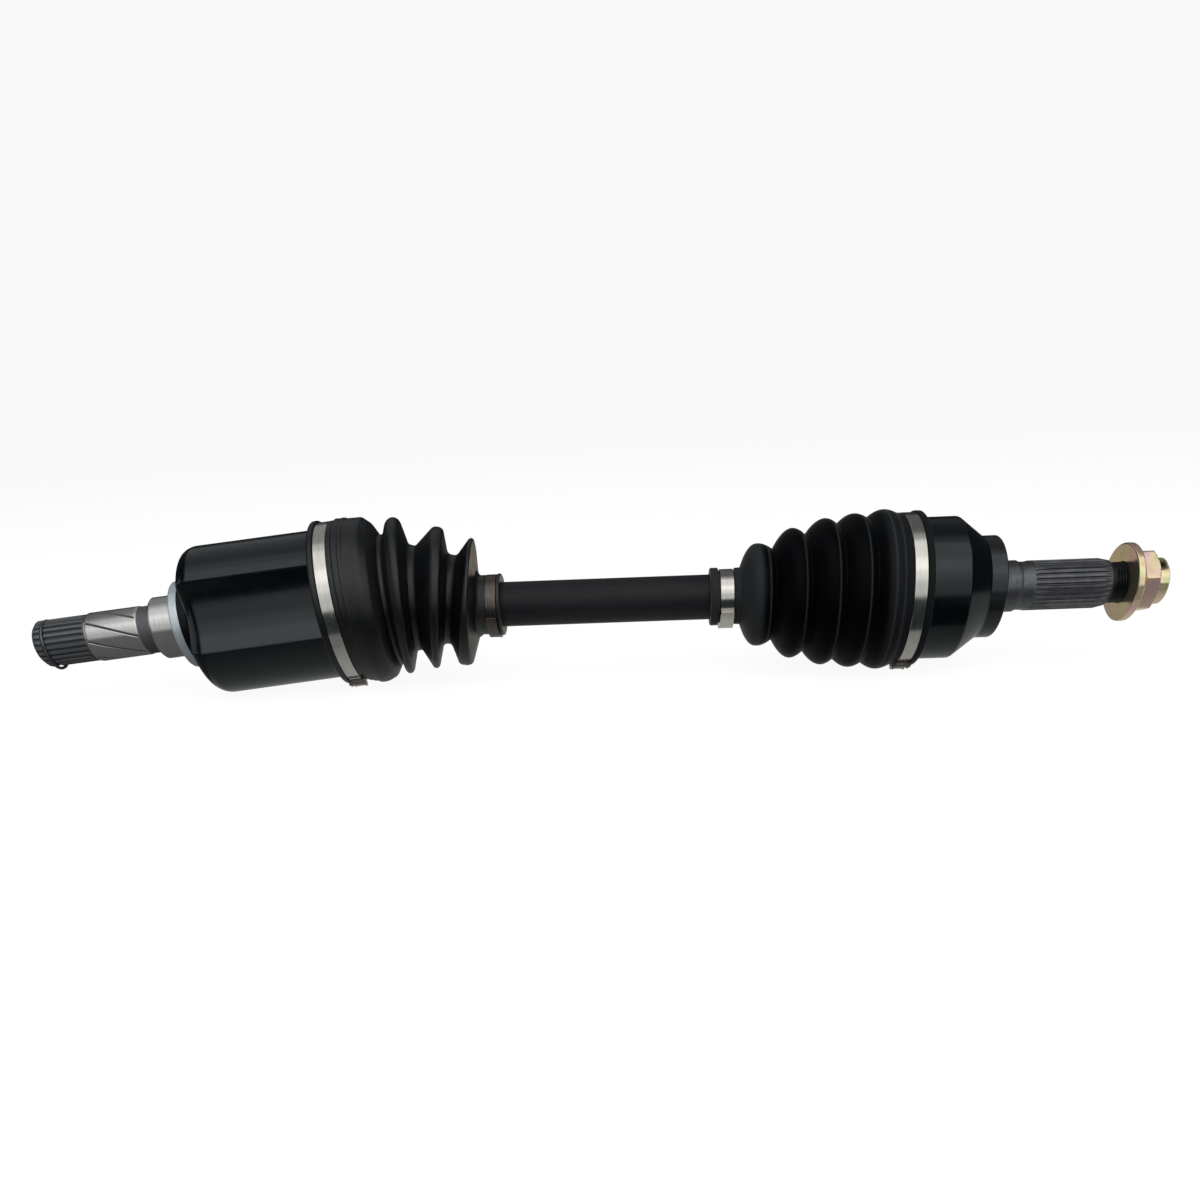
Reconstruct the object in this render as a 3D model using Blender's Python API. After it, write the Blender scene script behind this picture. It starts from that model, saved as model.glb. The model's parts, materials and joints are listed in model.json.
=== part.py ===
"""Front drive axle (CV axle): bar, plunging tripod joint, fixed ball joint, boots, clamps and hub nut.

The bar lies along X with the hub end at +X. The fixed ball joint is straight at rest, and the tripod
joint is bent a few degrees, as an axle lies on a bench. Lengths are in millimetres up to the mesh.
"""

import math

import bmesh
import bpy
from mathutils import Matrix, Vector

MM = 0.001
GAP = 0.3  # between neighbours that touch on the real axle

# Placement: the origin is at the middle of the bounding box's floor.
TRIPOD_X, BALL_JOINT_X = -179.8, 182.1  # centres of the two joints along the bar
BAR_Y, BAR_Z = -3.9, 42.9
LOBE_ANGLE = 105.0  # first lobe and trunnion of the tripod joint, from +Y towards +Z
TILT_ACROSS, TILT_ALONG = 6.93, 2.68  # rest bend about trunnion 1, then about the axis square to it

# Bar
BAR_R, BAR_NECK_R, BAR_SPLINE_R = 12.0, 9.5, 10.2

# Tripod joint, measured along its own axis from the joint centre towards the bar
TRIPOD_PITCH_R, ROLLER_R, ROLLER_WIDTH = 24.0, 15.3, 10.0
TRUNNION_R, HUB_R, HUB_HALF = 8.0, 14.0, 10.0
TRACK_CLEARANCE = 2.1
LOBE_R, LOBE_SEAT_R, LOBE_HALF_ANGLE, VALLEY_DEPTH_R = 40.05, 38.5, 32.0, 31.0
HOUSING_CLOSED, HOUSING_MOUTH, CAVITY_END = -41.0, 45.5, -33.0
CAVITY_LOBE_R, CAVITY_HUB_R, CAVITY_MOUTH_HUB_R = 34.8, 19.5, 28.3
STUB_R, STUB_JOURNAL_R, STUB_END = 13.3, 16.75, -131.8

# Fixed ball joint, measured from its centre towards the hub
BALL_R, BALL_PITCH_R, BALL_COUNT = 7.5, 25.0, 6
GROOVE_R, GROOVE_PITCH_R = 9.9, 24.4
CAGE_OUTER_R, CAGE_INNER_R, CAGE_HALF, WINDOW_R = 27.9, 23.2, 11.0, 7.9
RACE_SPHERE_R, RACE_HALF, CAVITY_SPHERE_R = 22.6, 10.0, 28.5
BELL_R, BELL_MOUTH, SHOULDER_FACE = 37.4, -12.0, 41.7
THREAD_R, STUD_END = 10.7, 132.6

# Boots
BOOT_BEND_FROM, BOOT_BEND_TO = 45.0, 118.0  # where the inner boot leaves the housing and meets the bar


# Ring points of the lobed and grooved pieces, as degrees inside one sector
LOBE_SECTOR = (-52.0, -42.0, -32.1, -30.0, -20.0, -10.0, 0.0, 10.0, 20.0, 30.0, 32.1, 42.0, 52.0, 60.0)
GROOVE_SECTOR = (-23.5, -19.5, -11.0, 0.0, 11.0, 19.5, 23.5, 30.0)


# ---------------------------------------------------------------- scene and materials

def clear_scene():
    for existing in list(bpy.data.objects):
        bpy.data.objects.remove(existing, do_unlink=True)


def material(name, colour, roughness, metallic):
    made = bpy.data.materials.new(name)
    made.use_nodes = True
    shader = made.node_tree.nodes["Principled BSDF"]
    shader.inputs["Base Color"].default_value = (*colour, 1.0)
    shader.inputs["Roughness"].default_value = roughness
    shader.inputs["Metallic"].default_value = metallic
    return made


def make_materials():
    return {
        "black_paint": material("black_paint", (0.012, 0.014, 0.017), 0.30, 0.0),
        "bar_paint": material("bar_paint", (0.012, 0.012, 0.013), 0.42, 0.0),
        "rubber": material("rubber", (0.013, 0.014, 0.015), 0.52, 0.0),
        "bushing_polymer": material("bushing_polymer", (0.02, 0.02, 0.02), 0.6, 0.0),
        "clamp_steel": material("clamp_steel", (0.62, 0.60, 0.56), 0.27, 1.0),
        "zinc": material("zinc", (0.60, 0.68, 0.72), 0.30, 1.0),
        "yellow_zinc": material("yellow_zinc", (0.72, 0.62, 0.36), 0.30, 1.0),
        "spring_steel": material("spring_steel", (0.22, 0.22, 0.23), 0.35, 1.0),
        "bearing_steel": material("bearing_steel", (0.66, 0.66, 0.67), 0.15, 1.0),
        "forged_steel": material("forged_steel", (0.35, 0.34, 0.33), 0.40, 1.0),
    }


# ---------------------------------------------------------------- placing

def empty_at(name, matrix):
    pivot = bpy.data.objects.new(name, None)
    bpy.context.scene.collection.objects.link(pivot)
    pivot.matrix_world = matrix
    return pivot


def make_pivots():
    """Empties on the joint centres. The tripod ones carry the rest bend."""
    tripod_centre = Matrix.Translation(Vector((TRIPOD_X, BAR_Y, BAR_Z)) * MM)
    ball_centre = Matrix.Translation(Vector((BALL_JOINT_X, BAR_Y, BAR_Z)) * MM)
    angle = math.radians(LOBE_ANGLE)
    trunnion = Vector((0.0, math.cos(angle), math.sin(angle)))
    across = Vector((1.0, 0.0, 0.0)).cross(trunnion)
    first = Matrix.Rotation(math.radians(TILT_ACROSS), 4, trunnion)
    # The axis square to the trunnion turns with the first tilt; a local rotation says the same.
    second = Matrix.Rotation(math.radians(-TILT_ALONG), 4, -across)
    return {
        "bar": empty_at("bar_frame", tripod_centre),
        "trunnion": empty_at("trunnion_pivot", tripod_centre @ first),
        "housing": empty_at("housing_pivot", tripod_centre @ first @ second),
        "ball_joint": empty_at("ball_joint_pivot", ball_centre),
    }


def add_object(name, bm, pivot, finish):
    """Turns a bmesh in millimetres into an object that hangs on the pivot."""
    bmesh.ops.recalc_face_normals(bm, faces=bm.faces)
    bmesh.ops.scale(bm, vec=(MM, MM, MM), verts=bm.verts)
    mesh = bpy.data.meshes.new(name)
    bm.to_mesh(mesh)
    bm.free()
    mesh.materials.append(finish)
    mesh.shade_smooth()
    mesh.set_sharp_from_angle(angle=math.radians(35))
    made = bpy.data.objects.new(name, mesh)
    bpy.context.scene.collection.objects.link(made)
    made.parent = pivot
    return made


# ---------------------------------------------------------------- shape helpers

def round_section(radius):
    return lambda angle: radius


def even_angles(steps):
    return [2 * math.pi * step / steps for step in range(steps)]


def sector_angles(count, offset_deg, inside_sector):
    """Ring angles that repeat in count sectors, so that points fall on the sectors' edges."""
    angles = []
    for sector in range(count):
        for off in inside_sector:
            angles.append(math.radians(offset_deg + 360.0 * sector / count + off))
    return angles


def loft(sections, around, joined=False, frame=None):
    """A solid through rings: each section is (x, radius or a function of the angle).

    An end section of radius 0 closes to a point. With joined the last ring meets the first, which
    makes a tube. A frame function turns each (x, y, z) of a ring into its place. Around is the
    number of steps in a ring or a list of angles.
    """
    angles = even_angles(around) if isinstance(around, int) else around
    steps = len(angles)
    bm = bmesh.new()
    place = frame or (lambda x, y, z: (x, y, z))
    rings = []
    for x, shape in sections:
        if shape == 0:
            rings.append([bm.verts.new(place(x, 0.0, 0.0))])
            continue
        radius_at = shape if callable(shape) else round_section(shape)
        ring = []
        for angle in angles:
            radius = radius_at(angle)
            ring.append(bm.verts.new(place(x, radius * math.cos(angle), radius * math.sin(angle))))
        rings.append(ring)
    pairs = list(zip(rings, rings[1:]))
    if joined:
        pairs.append((rings[-1], rings[0]))
    for first, second in pairs:
        for step in range(steps):
            following = (step + 1) % steps
            if len(first) == 1:
                bm.faces.new((first[0], second[step], second[following]))
            elif len(second) == 1:
                bm.faces.new((first[step], second[0], first[following]))
            else:
                bm.faces.new((first[step], second[step], second[following], first[following]))
    return bm


def turned_tube(name, outline, steps, pivot, finish):
    """A ring-shaped solid: the closed outline of (x, radius) points spun about X."""
    return add_object(name, loft(outline, steps, joined=True), pivot, finish)


def arc_points(centre_x, radius, from_deg, to_deg, count, centre_r=0.0):
    """Points (x, r) on a circle, the angle being measured from +X towards +r."""
    points = []
    for step in range(count + 1):
        angle = math.radians(from_deg + (to_deg - from_deg) * step / count)
        points.append((centre_x + radius * math.cos(angle), centre_r + radius * math.sin(angle)))
    return points


def folded(angle, count, offset_deg):
    """The angle from the nearest of count equally spaced directions, in radians."""
    pitch = 2 * math.pi / count
    return abs((angle - math.radians(offset_deg) + pitch / 2) % pitch - pitch / 2)


def cut(target, cutters):
    """Takes the cutters, which stay in the scene unrendered, out of the target."""
    for cutter in cutters:
        cutter.hide_render = True
        cutter.display_type = "WIRE"
        boolean = target.modifiers.new("cut_" + cutter.name, "BOOLEAN")
        boolean.operation = "DIFFERENCE"
        boolean.solver = "EXACT"
        boolean.object = cutter


# ---------------------------------------------------------------- bar

def make_bar(pivots, finish):
    """The bar, with a splined end in each joint."""
    span = BALL_JOINT_X - TRIPOD_X
    sections = [
        (-13.5, 0), (-13.5, 9.2), (-12.5, BAR_SPLINE_R), (11.5, BAR_SPLINE_R), (12.5, BAR_NECK_R),
        (111.0, BAR_NECK_R), (116.0, BAR_R), (span - 99.0, BAR_R), (span - 95.0, BAR_NECK_R),
        (span - 12.0, BAR_NECK_R), (span - 11.5, BAR_SPLINE_R), (span + 11.5, BAR_SPLINE_R),
        (span + 12.5, 9.2), (span + 12.5, 0),
    ]
    add_object("axle_bar", loft(sections, 24), pivots["bar"], finish["bar_paint"])


# ---------------------------------------------------------------- tripod joint

def housing_outside(lobe_r):
    """Three lobes of this radius with a hollow between each pair."""
    edge = math.radians(60.0 - LOBE_HALF_ANGLE)
    # The hollow is an arc through its two edges and its deepest point.
    edge_x, edge_y = lobe_r * math.cos(edge), lobe_r * math.sin(edge)
    bow = max(edge_x - VALLEY_DEPTH_R, 0.5)
    hollow_r = (edge_y ** 2 + bow ** 2) / (2 * bow)
    hollow_centre = VALLEY_DEPTH_R + hollow_r

    def radius_at(angle):
        off = folded(angle, 3, LOBE_ANGLE + 60.0)
        if off >= edge:
            return lobe_r
        half = hollow_centre * math.cos(off)
        return half - math.sqrt(half ** 2 - hollow_centre ** 2 + hollow_r ** 2)

    return radius_at


def housing_inside(hub_r, lobe_r=CAVITY_LOBE_R):
    """Three roller tracks round a central bore."""
    half_width = ROLLER_R + TRACK_CLEARANCE

    def radius_at(angle):
        off = folded(angle, 3, LOBE_ANGLE)
        across = half_width / math.sin(off) if off > 1e-6 else lobe_r
        return max(hub_r, min(lobe_r, across))

    return radius_at


def make_housing(pivots, finish):
    """The three-lobed forging, open towards the bar, with its splined stub."""
    sections = [
        (STUB_END, 0), (STUB_END, 10.6), (STUB_END + 2.0, 12.65), (-102.8, 12.65), (-102.3, STUB_R),
        (-73.0, STUB_R), (-72.5, 12.9), (-65.3, 12.9), (-64.9, 16.0), (-64.1, STUB_JOURNAL_R),
        (-49.0, STUB_JOURNAL_R), (-48.8, 17.6), (HOUSING_CLOSED + 0.2, 17.6),
        (HOUSING_CLOSED + 0.5, 27.0),
        (-39.4, housing_outside(35.6)), (-35.0, housing_outside(LOBE_R)),
        (31.8, housing_outside(LOBE_R)), (32.4, housing_outside(LOBE_SEAT_R)),
        (HOUSING_MOUTH, housing_outside(LOBE_SEAT_R)),
        (HOUSING_MOUTH, housing_inside(CAVITY_MOUTH_HUB_R)),
        (12.0, housing_inside(CAVITY_HUB_R + 0.4)), (-10.0, housing_inside(CAVITY_HUB_R)),
        (CAVITY_END + 3.0, housing_inside(CAVITY_HUB_R)),
        (CAVITY_END, housing_inside(CAVITY_HUB_R - 4.0, CAVITY_LOBE_R - 4.0)), (CAVITY_END, 0),
    ]
    add_object("tripod_housing", loft(sections, sector_angles(3, LOBE_ANGLE, LOBE_SECTOR)), pivots["housing"], finish["black_paint"])


def make_housing_trim(pivots, finish):
    """The pieces fixed to the housing: dust ring, stub circlip and mouth retaining ring."""
    housing = pivots["housing"]
    dust_ring = [(-50.25, 17.05), (-50.25, 22.8), (-49.5, 23.5), (HOUSING_CLOSED - 0.1, 23.5),
                 (HOUSING_CLOSED - 0.1, 17.95), (-49.3, 17.95), (-49.3, 17.05)]
    turned_tube("dust_ring", dust_ring, 32, housing, finish["zinc"])
    circlip = arc_points(-125.5, 0.9, 0, 300, 5, centre_r=13.9)
    turned_tube("stub_circlip", circlip, 28, housing, finish["spring_steel"])
    ring_outer, ring_inner = CAVITY_LOBE_R - GAP - 0.1, 32.4
    mouth_ring = loft_arc_ring(HOUSING_MOUTH - 2.6, HOUSING_MOUTH - 1.2, ring_inner, ring_outer)
    add_object("housing_retaining_ring", mouth_ring, housing, finish["spring_steel"])


def loft_arc_ring(from_x, to_x, inner_r, outer_r):
    """An open wire ring of rectangular section, within the first lobe of the housing."""
    bm = bmesh.new()
    half = math.radians(24.0)
    middle = math.radians(LOBE_ANGLE)
    rings = []
    steps = 8
    for step in range(steps + 1):
        angle = middle - half + 2 * half * step / steps
        corner = []
        for x, radius in ((from_x, inner_r), (to_x, inner_r), (to_x, outer_r), (from_x, outer_r)):
            corner.append(bm.verts.new((x, radius * math.cos(angle), radius * math.sin(angle))))
        rings.append(corner)
    for first, second in zip(rings, rings[1:]):
        for side in range(4):
            following = (side + 1) % 4
            bm.faces.new((first[side], second[side], second[following], first[following]))
    bm.faces.new(rings[0])
    bm.faces.new(rings[-1])
    return bm


def trunnion_matrix(index):
    """Takes local Z to the trunnion's direction, square to the bar."""
    angle = math.radians(LOBE_ANGLE + 120.0 * index)
    return Matrix.Rotation(angle - math.pi / 2, 4, "X")


def upright_tube(outline, steps, index, lift=0.0):
    """A tube about the trunnion: the outline is (height along the trunnion, radius)."""
    bm = loft([(height + lift, radius) for height, radius in outline], steps, joined=True)
    stand = trunnion_matrix(index) @ Matrix.Rotation(-math.pi / 2, 4, "Y")
    bmesh.ops.transform(bm, matrix=stand, verts=bm.verts)
    return bm


def make_spider(pivots, finish):
    """The spider: a splined hub with three trunnions, each with its roller, needles and ring."""
    bar = pivots["bar"]
    bore = BAR_SPLINE_R + GAP
    hub = [(-HUB_HALF, bore), (-HUB_HALF, 12.6), (-HUB_HALF + 1.4, HUB_R), (HUB_HALF - 1.4, HUB_R),
           (HUB_HALF, 12.6), (HUB_HALF, bore)]
    spider = turned_tube("tripod_spider", hub, 30, bar, finish["forged_steel"])
    tip = TRIPOD_PITCH_R + 7.2
    for index in range(3):
        sections = [(11.8, 0), (11.8, TRUNNION_R), (tip - 2.9, TRUNNION_R), (tip - 2.8, 7.0),
                    (tip - 1.5, 7.0), (tip - 1.4, TRUNNION_R), (tip - 0.4, TRUNNION_R), (tip, 7.4),
                    (tip, 0)]
        bm = loft(sections, 20)
        stand = trunnion_matrix(index) @ Matrix.Rotation(-math.pi / 2, 4, "Y")
        bmesh.ops.transform(bm, matrix=stand, verts=bm.verts)
        trunnion = add_object(f"trunnion_{index + 1}_shape", bm, bar, finish["forged_steel"])
        trunnion.hide_render = True
        trunnion.display_type = "WIRE"
        union = spider.modifiers.new(f"trunnion_{index + 1}", "BOOLEAN")
        union.operation = "UNION"
        union.solver = "EXACT"
        union.object = trunnion
        make_roller(index, tip, pivots, finish)
    snap_ring = [(-12.0, bore + 0.1), (-12.0, 11.6), (-10.6, 11.6), (-10.6, bore + 0.1)]
    turned_tube("spider_snap_ring", snap_ring, 20, bar, finish["spring_steel"])


def make_roller(index, tip, pivots, finish):
    half = ROLLER_WIDTH / 2
    edge_r = math.sqrt(ROLLER_R ** 2 - half ** 2)
    edge_deg = math.degrees(math.atan2(edge_r, half))
    bore = TRUNNION_R + 2.4
    outline = [(-half, bore)] + arc_points(0.0, ROLLER_R, 180 - edge_deg, edge_deg, 4) + [(half, bore)]
    roller = upright_tube(outline, 24, index, lift=TRIPOD_PITCH_R)
    pivot = pivots["trunnion"] if index == 0 else pivots["bar"]
    add_object(f"tripod_roller_{index + 1}", roller, pivot, finish["bearing_steel"])
    needles = [(-half + 0.6, TRUNNION_R + GAP), (-half + 0.6, bore - GAP), (half - 2.0, bore - GAP),
               (half - 2.0, TRUNNION_R + GAP)]
    sleeve = upright_tube(needles, 20, index, lift=TRIPOD_PITCH_R)
    add_object(f"roller_needles_{index + 1}", sleeve, pivots["bar"], finish["bearing_steel"])
    low, high = tip - 2.6, tip - 1.7
    ring = upright_tube([(low, 7.3), (low, 9.8), (high, 9.8), (high, 7.3)], 20, index)
    add_object(f"trunnion_ring_{index + 1}", ring, pivots["bar"], finish["spring_steel"])


# ---------------------------------------------------------------- ball joint

def ball_groove(sphere_r, sign):
    """A sphere-bounded section with six round grooves: sign +1 opens outward, -1 cuts inward."""
    limit = math.asin(GROOVE_R / GROOVE_PITCH_R)

    def radius_at(angle):
        off = folded(angle, BALL_COUNT, 0.0)
        if off >= limit:
            return sphere_r
        reach = math.sqrt(GROOVE_R ** 2 - (GROOVE_PITCH_R * math.sin(off)) ** 2)
        groove = GROOVE_PITCH_R * math.cos(off) + sign * reach
        return max(sphere_r, groove) if sign > 0 else min(sphere_r, groove)

    return radius_at


def make_outer_race(pivots, finish):
    """The bell with its splined stub: outside from the stud end to the mouth, then the cavity."""
    def sphere_at(x):
        return math.sqrt(max(CAVITY_SPHERE_R ** 2 - x ** 2, 25.0))

    sections = [
        (STUD_END, 0), (STUD_END, 9.6), (STUD_END - 1.2, THREAD_R), (105.0, THREAD_R), (104.4, 11.6),
        (101.0, 12.9), (98.5, 13.1), (61.5, 13.1), (60.5, 12.8), (55.5, 12.8), (54.5, 13.6),
        (SHOULDER_FACE, 13.6), (SHOULDER_FACE, 25.9), (40.6, 26.9), (33.4, 27.2), (20.0, BELL_R), (-0.5, BELL_R),
        (-0.7, 36.2), (BELL_MOUTH, 36.2), (BELL_MOUTH, 34.6), (BELL_MOUTH + 1.0, ball_groove(31.2, 1)),
        (-8.0, ball_groove(sphere_at(-8.0), 1)), (0.0, ball_groove(sphere_at(0.0), 1)),
        (9.0, ball_groove(sphere_at(9.0), 1)), (18.5, ball_groove(sphere_at(18.5), 1)),
        (20.0, sphere_at(20.0)), (24.0, sphere_at(24.0)), (28.0, 5.0), (28.0, 0),
    ]
    race = loft(sections, sector_angles(BALL_COUNT, 0.0, GROOVE_SECTOR))
    add_object("outer_race", race, pivots["ball_joint"], finish["black_paint"])


def make_inner_race(pivots, finish):
    def sphere_at(x):
        return math.sqrt(RACE_SPHERE_R ** 2 - x ** 2)

    bore = BAR_SPLINE_R + GAP
    sections = [(-RACE_HALF, bore)]
    for share in (-1.0, -0.5, 0.0, 0.5, 1.0):
        x = share * RACE_HALF
        sections.append((x, ball_groove(sphere_at(x), -1)))
    sections.append((RACE_HALF, bore))
    race = loft(sections, sector_angles(BALL_COUNT, 0.0, GROOVE_SECTOR), joined=True)
    add_object("inner_race", race, pivots["ball_joint"], finish["bearing_steel"])
    snap_ring = [(10.6, bore + 0.1), (10.6, 11.8), (11.2, 11.8), (11.2, bore + 0.1)]
    turned_tube("inner_race_snap_ring", snap_ring, 20, pivots["ball_joint"], finish["spring_steel"])


def make_cage(pivots, finish):
    """The cage: a spherical shell with a window for each ball."""
    outer_deg = math.degrees(math.acos(CAGE_HALF / CAGE_OUTER_R))
    inner_deg = math.degrees(math.acos(CAGE_HALF / CAGE_INNER_R))
    outline = arc_points(0.0, CAGE_OUTER_R, 180 - outer_deg, outer_deg, 4)
    outline += arc_points(0.0, CAGE_INNER_R, inner_deg, 180 - inner_deg, 4)
    cage = turned_tube("ball_cage", outline, 36, pivots["ball_joint"], finish["forged_steel"])
    cutters = []
    for index in range(BALL_COUNT):
        sections = [(16.0, 0), (16.0, WINDOW_R), (34.0, WINDOW_R), (34.0, 0)]
        bm = loft(sections, 16)
        point = Matrix.Rotation(math.radians(60.0 * index), 4, "X") @ Matrix.Rotation(math.pi / 2, 4, "Z")
        bmesh.ops.transform(bm, matrix=point, verts=bm.verts)
        name = f"window_cutter_{index + 1}"
        cutters.append(add_object(name, bm, pivots["ball_joint"], finish["forged_steel"]))
    cut(cage, cutters)


def make_balls(pivots, finish):
    for index in range(BALL_COUNT):
        angle = math.radians(60.0 * index)
        centre = (0.0, BALL_PITCH_R * math.cos(angle), BALL_PITCH_R * math.sin(angle))
        bm = bmesh.new()
        bmesh.ops.create_icosphere(bm, subdivisions=2, radius=BALL_R)
        bmesh.ops.translate(bm, vec=centre, verts=bm.verts)
        add_object(f"ball_{index + 1}", bm, pivots["ball_joint"], finish["bearing_steel"])


# ---------------------------------------------------------------- boots and clamps

def boot_offset(x):
    """How far the inner boot's middle stands off the bar's axis at x, and that curve's slope."""
    slope = math.tan(housing_tilt())
    if x <= BOOT_BEND_FROM:
        return slope * x, slope
    span = BOOT_BEND_TO - BOOT_BEND_FROM
    share = min((x - BOOT_BEND_FROM) / span, 1.0)
    if share >= 1.0:
        return 0.0, 0.0
    steepness = slope * (1 - share ** 2) - slope * x * 2 * share / span
    ease = min(1.0, (1.0 - share) * 6.0)
    return slope * x * (1 - share ** 2), steepness * ease


def housing_axis():
    """The housing's axis in the bar's frame, pointing towards the bar."""
    angle = math.radians(LOBE_ANGLE)
    trunnion = Vector((0.0, math.cos(angle), math.sin(angle)))
    across = Vector((1.0, 0.0, 0.0)).cross(trunnion)
    first, second = math.radians(TILT_ACROSS), math.radians(TILT_ALONG)
    return (Vector((1.0, 0.0, 0.0)) * math.cos(second) * math.cos(first)
            - across * math.cos(second) * math.sin(first) + trunnion * math.sin(second))


def housing_tilt():
    return housing_axis().angle(Vector((1.0, 0.0, 0.0)))


def boot_frame(x, y, z):
    """Places a ring point of the inner boot on its bent middle line, in the bar's frame."""
    axis = housing_axis()
    sideways = Vector((0.0, axis.y, axis.z)).normalized()
    offset, slope = boot_offset(x)
    lean = Matrix.Rotation(math.atan(slope), 3, Vector((1.0, 0.0, 0.0)).cross(sideways))
    return Vector((x, 0.0, 0.0)) + sideways * offset + lean @ Vector((0.0, y, z))


def wave(crests, valleys):
    """The fold outline from (x, r) crests and valleys in turn, with a flat on each crest."""
    points = []
    for index, (x, radius) in enumerate(crests):
        points += [(x - 1.4, radius - 0.2), (x + 1.4, radius - 0.2)]
        if index < len(valleys):
            points.append(valleys[index])
    return points


def make_inner_boot(pivots, finish):
    big = 0.9916  # housing-axis distances as seen along the bar
    crests = [(56.0, 45.1), (73.4, 41.9), (94.0, 37.9), (111.9, 34.2)]
    valleys = [(66.6, 34.6), (82.8, 27.6), (101.6, 24.0)]
    outside = [(32.8 * big, 40.7), (32.8 * big, 43.6), (33.8 * big, 44.3), (35.8 * big, 44.3),
               (36.0 * big, 42.7), (43.2 * big, 42.7), (43.4 * big, 43.2), (46.0 * big, 44.1)]
    outside += wave(crests, valleys)
    outside += [(117.2, 17.5), (118.0, 16.0), (122.7, 15.9), (122.8, 15.4), (129.2, 15.4), (129.3, 16.4),
                (131.0, 16.2), (131.0, BAR_R + GAP)]
    inside = [(119.0, BAR_R + GAP), (115.4, 15.6), (101.6, 21.4), (82.8, 25.0), (66.6, 31.8),
              (50.0, 39.6), (46.0, 40.7)]
    bm = loft(outside + inside, 28, joined=True, frame=boot_frame)
    add_object("inner_boot", bm, pivots["bar"], finish["rubber"])


def make_outer_boot(pivots, finish):
    crests = [(-87.8, 27.2), (-69.0, 34.4), (-50.8, 38.7), (-34.9, 40.6), (-18.3, 42.0)]
    valleys = [(-80.6, 25.0), (-62.3, 31.5), (-45.3, 36.0), (-28.7, 38.6)]
    outside = [(-114.5, BAR_R + GAP), (-114.5, 15.1), (-113.6, 15.4), (-110.0, 15.4), (-109.8, 14.0),
               (-101.2, 14.0), (-101.0, 15.0), (-97.6, 15.0), (-93.6, 22.0)]
    outside += wave(crests, valleys)
    outside += [(-13.6, 40.9), (-11.4, 40.0), (-11.3, 39.5), (-4.3, 39.5), (-4.2, 40.9), (-1.0, 40.7),
                (-1.0, 36.5)]
    inside = [(-12.4, 36.5), (-15.0, 38.2), (-28.7, 36.6), (-45.3, 33.6), (-62.3, 29.0),
              (-80.6, 22.6), (-97.0, 13.6), (-99.5, BAR_R + GAP)]
    bm = loft(outside + inside, 28, joined=True)
    add_object("outer_boot", bm, pivots["ball_joint"], finish["rubber"])


def make_bushing(pivots, finish):
    """Fills the housing's hollows, so that the boot's big end can be round."""
    seat = housing_outside(LOBE_SEAT_R)

    def around_seat(angle):
        return seat(angle) + 0.5

    sections = [(33.2, around_seat), (33.2, 40.3), (HOUSING_MOUTH - 0.3, 40.3),
                (HOUSING_MOUTH - 0.3, around_seat)]
    bm = loft(sections, sector_angles(3, LOBE_ANGLE, LOBE_SECTOR), joined=True)
    add_object("boot_bushing", bm, pivots["housing"], finish["bushing_polymer"])


def clamp(name, from_x, to_x, inner_r, buckle_deg, buckle_height, pivot, finish):
    """A band with a folded buckle standing on it at one angle."""
    centre = math.radians(buckle_deg)
    near = math.degrees(5.0 / inner_r)
    angles = [math.radians(buckle_deg + off) for off in (-near * 1.6, -near, 0.0, near, near * 1.6)]
    rest = 360.0 - 3.2 * near
    angles += [math.radians(buckle_deg + near * 1.6 + rest * step / 30) for step in range(1, 30)]

    def outside(angle):
        off = abs((angle - centre + math.pi) % (2 * math.pi) - math.pi) * inner_r
        lift = 1.0 if off < 5.0 else max(0.0, 1.0 - (off - 5.0) / 3.0)
        return inner_r + 0.6 + buckle_height * lift

    sections = [(from_x, inner_r), (from_x, outside), (to_x, outside), (to_x, inner_r)]
    return add_object(name, loft(sections, angles, joined=True), pivot, finish["clamp_steel"])


def make_clamps(pivots, finish):
    clamp("inner_boot_large_clamp", 36.3, 42.9, 43.0, 262.0, 2.2, pivots["housing"], finish)
    clamp("outer_boot_large_clamp", -11.1, -4.5, 39.8, 262.0, 2.2, pivots["ball_joint"], finish)
    clamp("inner_boot_small_clamp", 123.0, 129.0, 15.7, 250.0, 1.4, pivots["bar"], finish)
    clamp("outer_boot_small_clamp", -109.5, -101.5, 14.3, 250.0, 1.6, pivots["ball_joint"], finish)


# ---------------------------------------------------------------- hub nut

def make_hub_nut(pivots, finish):
    bore = THREAD_R + GAP
    washer = [(112.6, bore), (112.6, 20.1), (113.0, 20.6), (116.0, 20.6), (116.4, 20.1), (116.4, bore)]
    turned_tube("hub_washer", washer, 32, pivots["ball_joint"], finish["yellow_zinc"])
    half_flats = 15.0

    def hexagon(angle):
        return half_flats / math.cos(folded(angle, 6, 12.0 + 180.0 + 30.0))

    sections = [(116.7, bore), (116.7, 16.6), (118.4, 17.2), (121.0, hexagon), (127.4, hexagon),
                (128.2, 14.2), (128.4, 12.1), (133.0, 12.1), (133.5, 11.7), (133.5, bore)]
    nut = loft(sections, 36, joined=True)
    add_object("hub_nut", nut, pivots["ball_joint"], finish["yellow_zinc"])


def build():
    clear_scene()
    finish = make_materials()
    pivots = make_pivots()
    bpy.context.view_layer.update()
    make_bar(pivots, finish)
    make_housing(pivots, finish)
    make_housing_trim(pivots, finish)
    make_spider(pivots, finish)
    make_bushing(pivots, finish)
    make_outer_race(pivots, finish)
    make_inner_race(pivots, finish)
    make_cage(pivots, finish)
    make_balls(pivots, finish)
    make_inner_boot(pivots, finish)
    make_outer_boot(pivots, finish)
    make_clamps(pivots, finish)
    make_hub_nut(pivots, finish)


build()
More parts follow.
